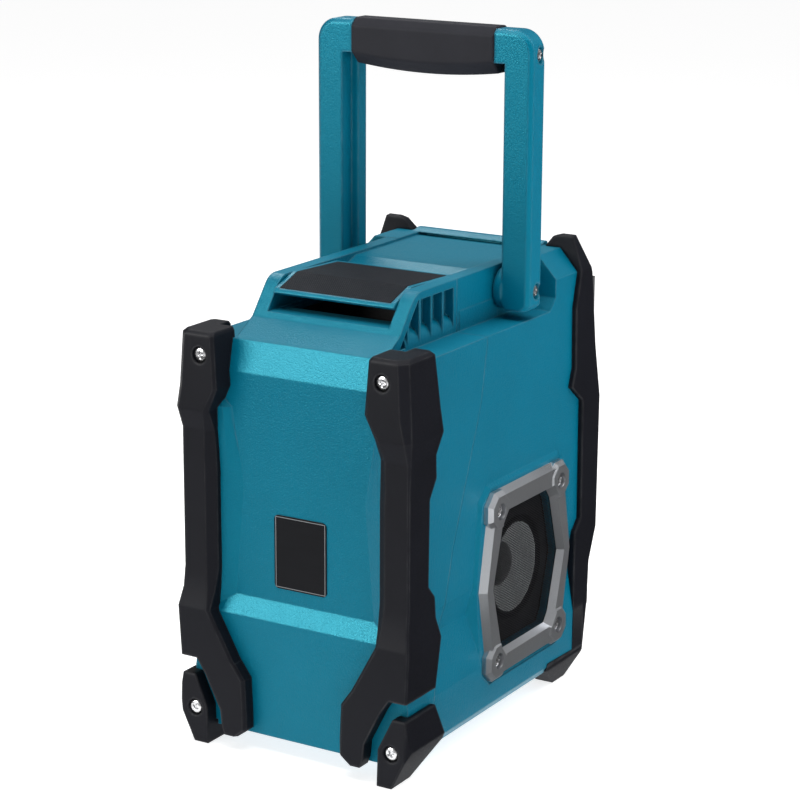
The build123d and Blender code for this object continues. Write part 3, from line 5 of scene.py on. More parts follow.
import bmesh
import bpy
from bpy.props import FloatProperty, FloatVectorProperty, IntProperty, PointerProperty
from bpy.types import Operator, Panel, PropertyGroup
from mathutils import Matrix, Vector


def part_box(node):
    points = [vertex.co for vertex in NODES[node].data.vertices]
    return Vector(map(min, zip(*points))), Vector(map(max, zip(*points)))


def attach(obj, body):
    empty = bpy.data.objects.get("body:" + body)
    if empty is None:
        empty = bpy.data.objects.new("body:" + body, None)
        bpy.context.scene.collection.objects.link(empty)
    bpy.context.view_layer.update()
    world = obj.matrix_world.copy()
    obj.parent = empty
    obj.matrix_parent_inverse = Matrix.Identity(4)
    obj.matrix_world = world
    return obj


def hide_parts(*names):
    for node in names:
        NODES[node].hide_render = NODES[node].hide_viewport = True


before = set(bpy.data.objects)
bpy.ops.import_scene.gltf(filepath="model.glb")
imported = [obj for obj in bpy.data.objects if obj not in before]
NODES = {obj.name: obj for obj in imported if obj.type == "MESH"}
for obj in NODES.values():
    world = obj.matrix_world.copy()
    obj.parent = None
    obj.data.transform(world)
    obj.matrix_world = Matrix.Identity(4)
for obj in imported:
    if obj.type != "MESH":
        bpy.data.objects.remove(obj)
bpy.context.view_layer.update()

bl_info = {
    "name": "Jobsite Radio Dressing",
    "version": (1, 0, 0),
    "blender": (4, 5, 0),
    "location": "3D View > Sidebar > Jobsite Radio",
    "description": "Gives the packed jobsite radio its finishes, rounded parts, screws and grilles",
    "category": "Object",
}

WELD = 2e-5                         # corners of a copied mesh nearer than this are one
FLAT_ANGLE = math.radians(0.6)      # neighbouring faces within this are one flat face
SCREW_CREASE = math.radians(38)     # edges of a screw sharper than this stay sharp
MARK_DEPTH = 0.00012                # how far a printed figure stands off its key
MAT_ROUNDING = 0.0005
DOOR_ROUNDING = 0.0007
SIDES = ("left", "right")
SPEAKER_SPOT = Vector((0.0, -0.0106, 0.0942))  # middle of a speaker, seen from its side

TEAL_SHEEN = (0.12, 0.86, 1.0)      # tint of the gloss on the teal plastic
GRILLE_BLACK = (0.007, 0.007, 0.0085)
CONE_GREY = (0.33, 0.35, 0.36)
CAP_GREY = (0.040, 0.042, 0.046)
PLATE_BLACK = (0.0065, 0.007, 0.009)
PLASTICS = {
    # name: (colour, roughness, grain, relief, edge, share of lighter edges, their lightening,
    # gloss); the lighter edges are part rubbed wear, part painted highlight
    "surround rubber": ((0.004, 0.004, 0.005), 0.50, 900.0, 0.20, 0.0004, 0.20, 0.03, 0.20),
    "basket moulding": ((0.020, 0.020, 0.023), 0.55, 700.0, 0.30, 0.0008, 0.35, 0.05, 0.40),
    "magnet ferrite": ((0.050, 0.050, 0.055), 0.50, 500.0, 0.40, 0.0008, 0.35, 0.20, 0.60),
    "key rubber": ((0.050, 0.052, 0.058), 0.58, 1600.0, 0.30, 0.0004, 0.30, 0.06, 0.40),
    "dial moulding": ((0.028, 0.029, 0.033), 0.32, 1500.0, 0.15, 0.0009, 0.35, 0.10, 0.55),
    "door rubber": ((0.030, 0.031, 0.035), 0.60, 1400.0, 0.40, 0.0009, 0.30, 0.04, 0.40),
    "socket moulding": ((0.016, 0.016, 0.018), 0.50, 1200.0, 0.30, 0.0006, 0.35, 0.05, 0.45),
    "battery box moulding": ((0.022, 0.023, 0.026), 0.50, 900.0, 0.30, 0.0010, 0.35, 0.05, 0.40),
}

FLOOR_Z = -0.0003                   # the floor lies this far under the feet
FLAG_Z = 0.001                      # the flat flags lie this far above the feet
SOFTBOXES = (
    # name, place, aim, size, its power in RadioStudio, whether it shows in gloss alone
    ("overhead softbox", (0.0, 0.15, 1.75), (0.0, 0.0, 0.2), (1.5, 1.1), "overhead_power", False),
    ("rear softbox", (-0.95, -0.62, 1.45), (0.0, 0.0, 0.26), (1.3, 0.9), "rear_power", False),
    ("sheen softbox", (0.99, 1.53, 1.04), (0.0, 0.12, 0.24), (1.0, 1.0), "key_power", True),
    ("slope softbox", (0.94, -0.94, 1.50), (0.0, 0.0, 0.28), (0.7, 0.5), "slope_power", True),
)
REFLECTORS = (
    # name, place, size, share of the card power
    ("back card", (0.12, 0.46, 0.02), (0.9, 0.4), 0.75),
    ("side card", (-0.46, -0.05, 0.02), (0.4, 0.9), 1.35),
)
REFLECTOR_AIM = (0.0, 0.0, 0.5)
FLAGS = {
    "side flag": ((-0.085, -0.2, FLAG_Z), (-0.085, 0.16, FLAG_Z), (-5.0, 0.6, FLAG_Z),
                  (-5.0, -6.0, FLAG_Z), (-0.085, -6.0, FLAG_Z)),
    "back flag": ((-0.16, 0.34, FLAG_Z), (0.5, 0.28, FLAG_Z), (5.0, 0.8, FLAG_Z),
                  (5.0, 5.0, FLAG_Z), (-0.16, 5.0, FLAG_Z)),
    "far flag": ((-1.4, -3.6, FLAG_Z), (4.4, -0.4, FLAG_Z), (4.4, -0.4, 1.9), (-1.4, -3.6, 1.9)),
}


# ---- sizes and colours

def length(label, description, default, least=0.0):
    return FloatProperty(name=label, description=description, default=default, min=least,
                         subtype="DISTANCE", unit="LENGTH")


def shade(label, description, default):
    return FloatVectorProperty(name=label, description=description, default=default,
                               min=0.0, max=1.0, subtype="COLOR")


def power(label, description, default):
    return FloatProperty(name=label, description=description, default=default, min=0.0,
                         subtype="POWER", unit="POWER")


def angle(label, description, degrees):
    return FloatProperty(name=label, description=description, default=math.radians(degrees),
                         subtype="ANGLE", unit="ROTATION")


class RadioSizes(PropertyGroup):
    """Sizes that the dressing adds to the frame."""

    bumper_rounding: length("Bumper Rounding", "Radius on the edges of bumpers and feet", 0.0017)
    arm_rounding: length("Arm Rounding", "Radius on the edges of the handle arms", 0.0019)
    grip_rounding: length("Grip Rounding", "Radius on the ends of the grip sleeve", 0.0012)
    lid_rounding: length("Lid Rounding", "Radius on the edges of the lid", 0.0012)
    bezel_rounding: length("Bezel Rounding", "Radius on the edges of the speaker bezels", 0.0006)
    key_rounding: length("Key Rounding", "Radius on the edges of the keys", 0.0008)
    shell_softness: length("Shell Softness", "Radius that the shells' edges seem to have", 0.0014)
    grille_pitch: length("Grille Pitch", "Distance between neighbouring holes of the grille",
                         0.0016, 0.0008)
    grille_hole: FloatProperty(
        name="Grille Hole", description="Width of a hole as a share of the pitch",
        default=0.80, min=0.1, max=0.95, subtype="FACTOR")
    grille_sheet: length("Grille Sheet", "Thickness of the perforated sheet", 0.0003, 0.0002)
    screw_head: length("Screw Head", "Radius of the screw heads", 0.0044, 0.001)
    screw_height: length("Screw Head Height", "Height of the screw heads", 0.0026, 0.0005)
    screw_sides: IntProperty(
        name="Screw Sides", description="Facets round a screw head", default=32, min=8)
    mark_height: length("Mark Height", "Height of the figures on the keys", 0.0046, 0.001)


class RadioColours(PropertyGroup):
    """Base colours of the finishes."""

    shell: shade("Shell", "Moulded casing shells", (0.0, 0.122, 0.200))
    handle: shade("Handle", "Moulded handle arms", (0.0, 0.132, 0.214))
    bumper: shade("Bumper", "Corner bumpers and feet", (0.0065, 0.0070, 0.0105))
    grip: shade("Grip", "Soft sleeve on the handle", (0.020, 0.0205, 0.026))
    mat: shade("Mat", "Soft mat on the lid", (0.0115, 0.0145, 0.0215))
    cover: shade("Front Cover", "Front cover and control panel", (0.012, 0.013, 0.0165))
    silver: shade("Silver", "Paint of the speaker bezels", (0.50, 0.515, 0.54))
    steel: shade("Steel", "Screws and pins", (0.72, 0.72, 0.73))
    mark: shade("Marks", "Printed figures on the keys", (0.75, 0.77, 0.78))


class RadioStudio(PropertyGroup):
    """Floor, light and camera."""

    floor_size: length("Floor Size", "Side of the floor", 40.0, 1.0)
    floor_colour: shade("Floor Colour", "Pale floor", (0.62, 0.62, 0.62))
    floor_glow: FloatProperty(
        name="Floor Glow", description="Light that the floor gives itself", default=0.79, min=0.0)
    room_light: FloatProperty(
        name="Room Light", description="Strength of the even light", default=0.265, min=0.0)
    overhead_power: power("Overhead Power", "Softbox above the radio", 25.0)
    rear_power: power("Rear Power", "Softbox beyond the radio", 11.0)
    key_power: power("Key Power", "Softbox that shows as a sheen on the rear ledge", 76.0)
    slope_power: power("Slope Power", "Softbox that shows as a sheen on the tray's slope", 9.0)
    card_power: power("Card Power", "Reflector cards on the floor beside the radio", 2.6)
    camera_spot: FloatVectorProperty(
        name="Camera Place", description="Where the camera stands", subtype="TRANSLATION",
        unit="LENGTH", default=(-0.7734, 1.2925, 0.5944))
    camera_azimuth: angle("Camera Azimuth", "Turn of the camera round the radio", 211.2058)
    camera_elevation: angle("Camera Elevation", "Height of the camera as an angle", 14.8498)
    camera_roll: angle("Camera Roll", "Tilt of the camera about its own line of sight", 0.2481)
    camera_lens: FloatProperty(
        name="Camera Lens", description="Focal length in millimetres", default=111.619, min=1.0)


# ---- finishes

class Nodes:
    """Adds nodes to the tree that a subclass makes."""

    def add(self, kind, inputs=None, **settings):
        """A node with its settings, its values and its links."""
        node = self.tree.nodes.new(kind)
        for key, value in settings.items():
            setattr(node, key, value)
        for key, value in (inputs or {}).items():
            if isinstance(value, bpy.types.NodeSocket):
                self.tree.links.new(value, node.inputs[key])
            else:
                node.inputs[key].default_value = value
        return node

    def out(self, kind, inputs=None, **settings):
        """The first output of a new node."""
        return self.add(kind, inputs, **settings).outputs[0]

    def number(self, operation, first, second=0.0):
        return self.out("ShaderNodeMath", {0: first, 1: second}, operation=operation)

    def product(self, first, *others):
        for other in others:
            first = self.number("MULTIPLY", first, other)
        return first


class Finish(Nodes):
    """A material in the making: one shader and the nodes that feed it."""

    def __init__(self, name, values=None):
        self.material = bpy.data.materials.new(name)
        self.material.use_nodes = True
        self.tree = self.material.node_tree
        self.tree.nodes.clear()
        self.shader = self.add("ShaderNodeBsdfPrincipled", values)
        sheet = self.add("ShaderNodeOutputMaterial")
        self.tree.links.new(self.shader.outputs["BSDF"], sheet.inputs["Surface"])
        self.coordinates = self.add("ShaderNodeTexCoord").outputs
        self.place = self.coordinates["Object"]

    def feed(self, name, value):
        """Joins a value to the shader."""
        self.tree.links.new(value, self.shader.inputs[name])

    def noise(self, scale, detail=2.0, roughness=0.5, place=None):
        return self.out("ShaderNodeTexNoise", {
            "Vector": place or self.place, "Scale": scale, "Detail": detail,
            "Roughness": roughness})

    def spread(self, value, low, high, to_low=0.0, to_high=1.0):
        """Stretches the part of a value from low to high, and cuts off the rest."""
        return self.out("ShaderNodeMapRange", {
            "Value": value, "From Min": low, "From Max": high,
            "To Min": to_low, "To Max": to_high}, clamp=True)

    def mixed(self, share, first, second):
        return self.add("ShaderNodeMix", {0: share, 6: first, 7: second},
                        data_type="RGBA").outputs[2]

    def paint(self, share, first, second):
        self.feed("Base Color", self.mixed(share, first, second))

    def dull(self, value, low, high, least, most):
        self.feed("Roughness", self.spread(value, low, high, least, most))

    def turned(self, angles):
        """Object coordinates turned for a pattern."""
        return self.out("ShaderNodeMapping", {
            "Vector": self.place, "Rotation": angles}, vector_type="TEXTURE")

    def axes(self, vector=None):
        return self.add("ShaderNodeSeparateXYZ", {0: vector or self.place}).outputs

    def soft_edge(self, radius):
        """A normal that runs smoothly round edges."""
        return self.out("ShaderNodeBevel", {"Radius": radius}, samples=6)

    def edge_share(self, soft):
        """1 along edges and 0 on the open faces."""
        true = self.add("ShaderNodeNewGeometry").outputs["True Normal"]
        facing = self.add("ShaderNodeVectorMath", {0: soft, 1: true}, operation="DOT_PRODUCT")
        return self.spread(facing.outputs["Value"], 0.985, 0.80)

    def relief(self, height, strength, depth, under=None):
        inputs = {"Strength": strength, "Distance": depth, "Height": height}
        if under is not None:
            inputs["Normal"] = under
        self.feed("Normal", self.out("ShaderNodeBump", inputs))


def once(make):
    """Makes a finish when its name is first asked for, and gives the same one after that."""
    def given(name, *values, **options):
        return bpy.data.materials.get(name) or make(name, *values, **options)
    return given


def scaled(colour, factor):
    return tuple(min(1.0, part * factor) for part in colour[:3]) + (1.0,)


def lifted(colour, amount):
    return tuple(part + (1.0 - part) * amount for part in colour[:3]) + (1.0,)


@once
def moulded(name, colour, roughness=0.5, grain=1500.0, relief=0.25, edge=0.0010, edge_wear_and_highlight=0.35,
            edge_wear_and_highlight_lift=0.05, gloss=0.4, mottling=0.05, depth=0.00012, fuzz=0.0, dust=0.0,
            tint=(1.0, 1.0, 1.0)):
    """Injection-moulded plastic or rubber: fine grain, faint mottling, and edges painted lighter,
    partly as rubbed wear and partly as painted highlight.

    The faces that look up at rest are rougher by dust.
    """
    finish = Finish(name, {"Specular IOR Level": gloss, "Specular Tint": (*tint, 1.0),
                           "Sheen Weight": fuzz, "Sheen Roughness": 0.45})
    broad = finish.noise(24.0, 4.0, 0.6)
    fine = finish.noise(grain, 3.0, 0.65)
    soft = finish.soft_edge(edge)
    # mask of the lighter edges: part rubbed wear, part painted highlight along every edge
    edge_wear_and_highlight_mask = finish.product(finish.edge_share(soft), edge_wear_and_highlight,
                            finish.spread(finish.noise(90.0, 3.0), 0.35, 0.65, 0.35, 1.0))
    base = finish.mixed(finish.spread(broad, 0.3, 0.7),
                        scaled(colour, 1.0 - mottling), scaled(colour, 1.0 + mottling))
    speckled = finish.mixed(finish.spread(fine, 0.35, 0.75, 0.0, 0.30), base,
                            scaled(colour, 1.0 + 3 * mottling))
    # paints the edges lighter: partly wear, partly painted edge highlight
    finish.paint(edge_wear_and_highlight_mask, speckled, lifted(colour, edge_wear_and_highlight_lift))
    rough = finish.spread(fine, 0.25, 0.75, roughness - 0.07, roughness + 0.09)
    if dust:
        upward = finish.axes(finish.coordinates["Normal"])[2]
        rough = finish.number("ADD", rough, finish.spread(upward, 0.980, 0.996, 0.0, dust))
    finish.feed("Roughness", rough)
    finish.relief(fine, relief, depth, soft)
    return finish.material


def plastic(name, **options):
    """A moulded finish from the table."""
    return moulded(name, *PLASTICS[name], **options)


def shell_teal(scene):
    """The finish that the shells and the lid share."""
    # the teal edges are painted lighter: painted highlight along the edges as well as wear
    return moulded("shell moulding", scene.radio_colours.shell, roughness=0.34, grain=950.0,
                   relief=0.85, depth=0.00032, mottling=0.035, edge_wear_and_highlight=0.45, edge_wear_and_highlight_lift=0.16, gloss=0.52,
                   edge=scene.radio_sizes.shell_softness, tint=TEAL_SHEEN, dust=0.30)


@once
def diamond_mat(name, colour):
    """Rubber mat with a fine diagonal weave of raised dots, painted darker in the hollows between
    the dots as shade and lighter on the dot tops as painted light.
    """
    finish = Finish(name, {
        "Specular IOR Level": 0.12, "Sheen Weight": 0.02, "Sheen Roughness": 0.5})
    waves = [finish.add("ShaderNodeTexWave", {
        "Vector": finish.turned((0.0, 0.0, math.radians(slant))), "Scale": 300.0,
        "Distortion": 0.0, "Detail": 0.0}, bands_direction="X").outputs["Fac"]
        for slant in (45, -45)]
    dots = finish.product(*waves)
    dusty = finish.noise(60.0, 4.0)
    # colour follows the dot height: painted shade in the hollows, painted light on the dot tops
    ground = finish.mixed(finish.spread(dots, 0.15, 0.7), scaled(colour, 0.45),
                          scaled(colour, 1.35))
    finish.paint(finish.spread(dusty, 0.45, 0.75, 0.0, 0.10), ground, lifted(colour, 0.03))
    finish.dull(dots, 0.0, 1.0, 0.75, 0.52)
    finish.relief(dots, 0.9, 0.0004)
    return finish.material


@once
def satin_paint(name, colour):
    """Silver paint with fine flake over a moulded bezel."""
    finish = Finish(name, {"Metallic": 0.9})
    flake = finish.noise(3200.0, 2.0, 0.7)
    cloud = finish.noise(30.0, 3.0)
    finish.paint(finish.spread(flake, 0.35, 0.7), scaled(colour, 0.92), scaled(colour, 1.10))
    finish.dull(cloud, 0.3, 0.7, 0.27, 0.36)
    finish.relief(flake, 0.02, 0.00002)
    return finish.material


@once
def plated_steel(name, colour):
    """Bright zinc-plated steel with turning marks."""
    finish = Finish(name, {"Metallic": 1.0})
    scratch = finish.noise(1800.0, 3.0, 0.6)
    stain = finish.noise(260.0, 3.0)
    finish.paint(finish.spread(stain, 0.4, 0.75, 0.0, 0.6), scaled(colour, 1.0),
                 scaled(colour, 0.72))
    finish.dull(scratch, 0.3, 0.7, 0.16, 0.34)
    finish.relief(scratch, 0.10, 0.00006, finish.soft_edge(0.0003))
    return finish.material


@once
def coated_sheet(name, colour):
    """Matt black paint on perforated sheet."""
    finish = Finish(name, {"Specular IOR Level": 0.30})
    powder = finish.noise(2400.0, 2.0, 0.7)
    cloud = finish.noise(45.0, 3.0)
    finish.paint(finish.spread(cloud, 0.35, 0.7), scaled(colour, 0.8), scaled(colour, 1.4))
    finish.dull(powder, 0.3, 0.7, 0.30, 0.46)
    finish.relief(powder, 0.2, 0.00008)
    return finish.material


@once
def pressed_paper(name, colour, ring_step=0.0021):
    """Speaker cone: pressed fibres and faint rings round its centre."""
    finish = Finish(name, {"Specular IOR Level": 0.3, "Sheen Weight": 0.2, "Sheen Roughness": 0.6})
    _, across, up = finish.axes()[:3]
    squares = [finish.number("POWER", finish.number("SUBTRACT", value, middle), 2.0)
               for value, middle in ((across, SPEAKER_SPOT.y), (up, SPEAKER_SPOT.z))]
    reach = finish.number("POWER", finish.number("ADD", *squares), 0.5)
    rings = finish.number("SINE", finish.product(reach, 2 * math.pi / ring_step))
    fibre = finish.noise(900.0, 5.0, 0.75)
    pulp = finish.mixed(finish.spread(fibre, 0.3, 0.7), scaled(colour, 0.75), scaled(colour, 1.3))
    finish.paint(finish.spread(rings, 0.4, 1.0, 0.0, 0.25), pulp, scaled(colour, 1.5))
    finish.dull(fibre, 0.2, 0.8, 0.55, 0.8)
    finish.relief(finish.number("ADD", fibre, finish.product(rings, 0.35)), 0.35, 0.0002)
    return finish.material


def middle_and_half(node):
    low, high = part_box(node)
    return (low + high) / 2, (high - low) / 2


@once
def blank_plate(name, colour, node):
    """Rating plate left blank: dark lacquer with a thin pale line inside its edge."""
    centre, half = middle_and_half(node)
    finish = Finish(name, {"Specular IOR Level": 0.10})
    side, _, up = finish.axes()[:3]
    insets = [finish.number("SUBTRACT", reach, finish.number(
        "ABSOLUTE", finish.number("SUBTRACT", value, middle)))
        for value, middle, reach in ((side, centre.x, half.x), (up, centre.z, half.z))]
    inset = finish.number("MINIMUM", *insets)
    line = finish.product(finish.spread(inset, 0.00085, 0.00095),
                          finish.spread(inset, 0.00125, 0.00135, 1.0, 0.0), 0.75)
    stretched = finish.out("ShaderNodeMapping", {"Vector": finish.place, "Scale": (0.05, 1.0, 1.0)})
    brushed = finish.noise(700.0, 3.0, 0.6, stretched)
    ground = finish.mixed(brushed, scaled(colour, 0.92), scaled(colour, 1.10))
    finish.paint(line, ground, (0.30, 0.32, 0.33, 1.0))
    finish.dull(brushed, 0.3, 0.7, 0.42, 0.48)
    finish.relief(brushed, 0.03, 0.00003, finish.soft_edge(0.0003))
    return finish.material


@once
def clear_window(name):
    """Polished clear cover over the display, with faint haze and wipe marks."""
    finish = Finish(name, {"Transmission Weight": 0.93, "IOR": 1.49, "Coat Weight": 0.2})
    haze = finish.noise(120.0, 4.0)
    finish.paint(haze, (0.78, 0.82, 0.84, 1.0), (0.90, 0.93, 0.94, 1.0))
    finish.dull(haze, 0.35, 0.75, 0.02, 0.09)
    finish.relief(finish.noise(14.0, 2.0), 0.03, 0.0002)
    return finish.material


@once
def liquid_display(name, node):
    """Reflective display: grey-green glass with a rising level meter and a row of charge cells."""
    centre, half = middle_and_half(node)
    finish = Finish(name, {"Specular IOR Level": 0.5})
    side, _, up = finish.axes()[:3]
    across = finish.spread(side, centre.x - 0.8 * half.x, centre.x + 0.8 * half.x)
    rise = finish.spread(up, centre.z - 0.7 * half.z, centre.z + 0.7 * half.z)

    def over(value, limit):
        return finish.number("GREATER_THAN", value, limit)

    def under(value, limit):
        return finish.number("LESS_THAN", value, limit)

    cells = over(finish.number("FRACT", finish.product(across, 18.0)), 0.3)
    top = finish.number("ADD", finish.product(across, 0.55), 0.22)
    meter = finish.product(under(rise, top), over(rise, 0.08), under(across, 0.72))
    charge = finish.product(over(rise, 0.78), under(rise, 0.96), over(across, 0.77))
    bars = finish.product(cells, finish.number("MAXIMUM", meter, charge))
    glass = finish.noise(1400.0, 2.0)
    ground = finish.mixed(glass, (0.20, 0.28, 0.22, 1.0), (0.26, 0.35, 0.27, 1.0))
    finish.paint(bars, ground, (0.02, 0.03, 0.03, 1.0))
    finish.dull(glass, 0.2, 0.8, 0.25, 0.4)
    finish.relief(glass, 0.05, 0.00003)
    return finish.material


@once
def circuit_board(name):
    """Green solder mask with copper tracks and speckled glass fibre."""
    finish = Finish(name, {"Specular IOR Level": 0.6, "Coat Weight": 0.3})
    tracks = finish.add("ShaderNodeTexBrick", {
        "Vector": finish.turned((math.radians(90), 0.0, 0.0)), "Scale": 130.0, "Mortar Size": 0.06,
        "Color1": (0.010, 0.085, 0.035, 1.0), "Color2": (0.014, 0.110, 0.045, 1.0),
        "Mortar": (0.05, 0.22, 0.10, 1.0)}, offset=0.37).outputs
    fibre = finish.noise(1200.0, 3.0)
    finish.paint(finish.spread(fibre, 0.45, 0.8, 0.0, 0.3), tracks["Color"],
                 (0.03, 0.16, 0.08, 1.0))
    finish.dull(fibre, 0.3, 0.7, 0.22, 0.4)
    finish.relief(tracks["Fac"], 0.3, 0.0001, finish.soft_edge(0.0003))
    return finish.material


def studio_paper(name, settings, noise, first, second):
    """Matt paper for the floor and the flags, faintly clouded."""
    finish = Finish(name, {"Specular IOR Level": 0.1, **settings})
    cloud = finish.noise(noise, 3.0)
    finish.paint(cloud, first, second)
    finish.dull(cloud, 0.3, 0.7, 0.85, 0.95)
    return finish.material


# ---- pieces

def link_piece(name, data):
    piece = bpy.data.objects.new(name, data)
    bpy.context.scene.collection.objects.link(piece)
    return piece


def mesh_of(name, work):
    """Turns finished mesh work into a mesh whose faces point outwards."""
    bmesh.ops.recalc_face_normals(work, faces=work.faces)
    mesh = bpy.data.meshes.new(name)
    work.to_mesh(mesh)
    work.free()
    return mesh


def welded(node):
    """The mesh of a frame node with its corners welded."""
    work = bmesh.new()
    work.from_mesh(NODES[node].data)
    bmesh.ops.remove_doubles(work, verts=work.verts, dist=WELD)
    return work


def welded_copy(node, name):
    """A copy of a frame node's mesh with its corners welded and its flat faces joined."""
    mesh = bpy.data.meshes.new(name)
    work = welded(node)
    bmesh.ops.dissolve_limit(work, angle_limit=FLAT_ANGLE, verts=work.verts, edges=work.edges)
    work.to_mesh(mesh)
    work.free()
    if mesh.attributes.get("custom_normal"):
        mesh.attributes.remove(mesh.attributes["custom_normal"])
    return link_piece(name, mesh)


def baked(piece):
    """Turns a piece and its modifiers into one plain mesh."""
    graph = bpy.context.evaluated_depsgraph_get()
    graph.update()
    mesh = bpy.data.meshes.new_from_object(
        piece.evaluated_get(graph), preserve_all_data_layers=True, depsgraph=graph)
    piece.modifiers.clear()
    piece.data = mesh
    if not mesh.polygons:
        raise RuntimeError(f"{piece.name} came out empty")
    return piece


def smoothed(piece):
    for face in piece.data.polygons:
        face.use_smooth = True
    return piece


def fit(piece, body, slot, material, *nodes):
    """Finishes a new piece, sets it on its body and lets it stand for its frame nodes."""
    piece.data.materials.clear()
    piece.data.materials.append(material)
    for face in piece.data.polygons:
        face.material_index = 0
    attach(piece, body)
    if nodes:
        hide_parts(*nodes)


def round_off(node, name, width, body, slot, material, segments=3, crease=14):
    """Puts a copy in a node's place, rounded on edges sharper than the crease in degrees."""
    piece = smoothed(welded_copy(node, name))
    bevel = piece.modifiers.new("edge rounding", "BEVEL")
    bevel.width = width
    bevel.segments = segments
    bevel.limit_method = "ANGLE"
    bevel.angle_limit = math.radians(crease)
    bevel.harden_normals = True
    fit(baked(piece), body, slot, material, node)


def finish_nodes(material, *names):
    """Gives carried-over frame nodes one finish, on every slot they have."""
    for name in names:
        node = NODES[name]
        for place in node.material_slots:
            place.material = material
        if not node.material_slots:
            node.data.materials.append(material)


def both(name):
    return tuple(f"{name}_{side}" for side in SIDES)


# ---- geometry nodes

class Tree(Nodes):
    """A Geometry Nodes tree in the making, with named inputs."""

    def __init__(self, name, sockets):
        self.tree = bpy.data.node_groups.new(name, "GeometryNodeTree")
        face = self.tree.interface
        face.new_socket("Geometry", in_out="INPUT", socket_type="NodeSocketGeometry")
        for label, kind, default in sockets:
            socket = face.new_socket(label, in_out="INPUT", socket_type=kind)
            if default is not None:
                socket.default_value = default
        face.new_socket("Geometry", in_out="OUTPUT", socket_type="NodeSocketGeometry")
        self.given = self.add("NodeGroupInput").outputs
        self.outlet = self.add("NodeGroupOutput")

    def joined(self, *shapes):
        node = self.add("GeometryNodeJoinGeometry")
        for shape in shapes:
            self.tree.links.new(shape, node.inputs[0])
        return node.outputs[0]

    def end(self, shape, material):
        real = self.out("GeometryNodeRealizeInstances", {"Geometry": shape})
        coated = self.out("GeometryNodeSetMaterial", {"Geometry": real, "Material": material})
        self.tree.links.new(coated, self.outlet.inputs[0])


def grown(piece, made, values):
    """Runs a tree on a piece and keeps the plain mesh."""
    modifier = piece.modifiers.new(made.tree.name, "NODES")
    modifier.node_group = made.tree
    for socket in made.tree.interface.items_tree:
        if socket.item_type == "SOCKET" and socket.in_out == "INPUT" and socket.name in values:
            modifier[socket.identifier] = values[socket.name]
    return baked(piece)


def perforation_tree():
    """Fills a flat outline in the XY plane with six-sided holes, in a sheet of real thickness."""
    tree = Tree("Perforated Sheet", (
        ("Pitch", "NodeSocketFloat", 0.0019), ("Hole Share", "NodeSocketFloat", 0.7),
        ("Thickness", "NodeSocketFloat", 0.0007), ("Columns", "NodeSocketInt", 20),
        ("Rows", "NodeSocketInt", 50), ("Finish", "NodeSocketMaterial", None)))
    given = tree.given
    radius = tree.number("DIVIDE", given["Pitch"], math.sqrt(3.0))
    wide = tree.product(radius, 3.0, tree.number("SUBTRACT", given["Columns"], 1.0))
    high = tree.product(given["Pitch"], tree.number("SUBTRACT", given["Rows"], 1.0))
    grid = tree.add("GeometryNodeMeshGrid", {
        "Size X": wide, "Size Y": high,
        "Vertices X": given["Columns"], "Vertices Y": given["Rows"]}).outputs["Mesh"]
    shift = tree.out("ShaderNodeCombineXYZ", {
        0: tree.product(radius, 1.5), 1: tree.product(given["Pitch"], 0.5)})
    second = tree.out("GeometryNodeTransform", {"Geometry": grid, "Translation": shift})
    points = tree.joined(grid, second)
    spot = tree.out("GeometryNodeInputPosition")
    above = tree.out("ShaderNodeVectorMath", {0: spot, 1: (0.0, 0.0, 0.01)}, operation="ADD")
    inside = tree.add("GeometryNodeRaycast", {
        "Target Geometry": given["Geometry"], "Source Position": above,
        "Ray Direction": (0.0, 0.0, -1.0), "Ray Length": 0.02}).outputs["Is Hit"]
    cell = tree.out("GeometryNodeMeshCircle", {"Vertices": 6, "Radius": radius}, fill_type="NGON")
    cells = tree.out("GeometryNodeInstanceOnPoints", {
        "Points": points, "Selection": inside, "Instance": cell})
    flat = tree.out("GeometryNodeRealizeInstances", {"Geometry": cells})
    sheet = tree.out("GeometryNodeMergeByDistance", {"Geometry": flat, "Distance": WELD})
    inset = tree.add("GeometryNodeExtrudeMesh", {
        "Mesh": sheet, "Offset Scale": 0.0, "Individual": True}, mode="FACES").outputs
    shrunk = tree.out("GeometryNodeScaleElements", {
        "Geometry": inset["Mesh"], "Selection": inset["Top"],
        "Scale": given["Hole Share"]}, domain="FACE")
    holed = tree.out("GeometryNodeDeleteGeometry", {
        "Geometry": shrunk, "Selection": inset["Top"]}, domain="FACE")
    front = tree.out("GeometryNodeExtrudeMesh", {
        "Mesh": holed, "Offset Scale": given["Thickness"], "Individual": False}, mode="FACES")
    back = tree.out("GeometryNodeFlipFaces", {"Mesh": holed})
    plate = tree.out("GeometryNodeMergeByDistance", {
        "Geometry": tree.joined(front, back), "Distance": WELD / 2})
    tree.end(plate, given["Finish"])
    return tree


def screw_tree():
    """Sets one screw on each point, turned to face the way the point says."""
    tree = Tree("Set Screws", (
        ("Screw", "NodeSocketObject", None), ("Size", "NodeSocketFloat", 1.0),
        ("Seed", "NodeSocketInt", 7), ("Finish", "NodeSocketMaterial", None)))
    given = tree.given
    screw = tree.add("GeometryNodeObjectInfo", {"Object": given["Screw"]}).outputs["Geometry"]
    facing = tree.add("GeometryNodeInputNamedAttribute", {"Name": "facing"},
                      data_type="FLOAT_VECTOR").outputs["Attribute"]
    turn = tree.out("FunctionNodeAlignRotationToVector", {"Vector": facing}, axis="Z")
    spin = tree.add("FunctionNodeRandomValue", {
        2: 0.0, 3: math.pi, "Seed": given["Seed"]}, data_type="FLOAT").outputs[1]
    about = tree.out("FunctionNodeAxisAngleToRotation", {"Axis": (0.0, 0.0, 1.0), "Angle": spin})
    set_turn = tree.out("FunctionNodeRotateRotation", {0: turn, 1: about}, rotation_space="LOCAL")
    placed = tree.out("GeometryNodeInstanceOnPoints", {
        "Points": given["Geometry"], "Instance": screw, "Rotation": set_turn,
        "Scale": given["Size"]})
    tree.end(placed, given["Finish"])
    return tree


# ---- screws

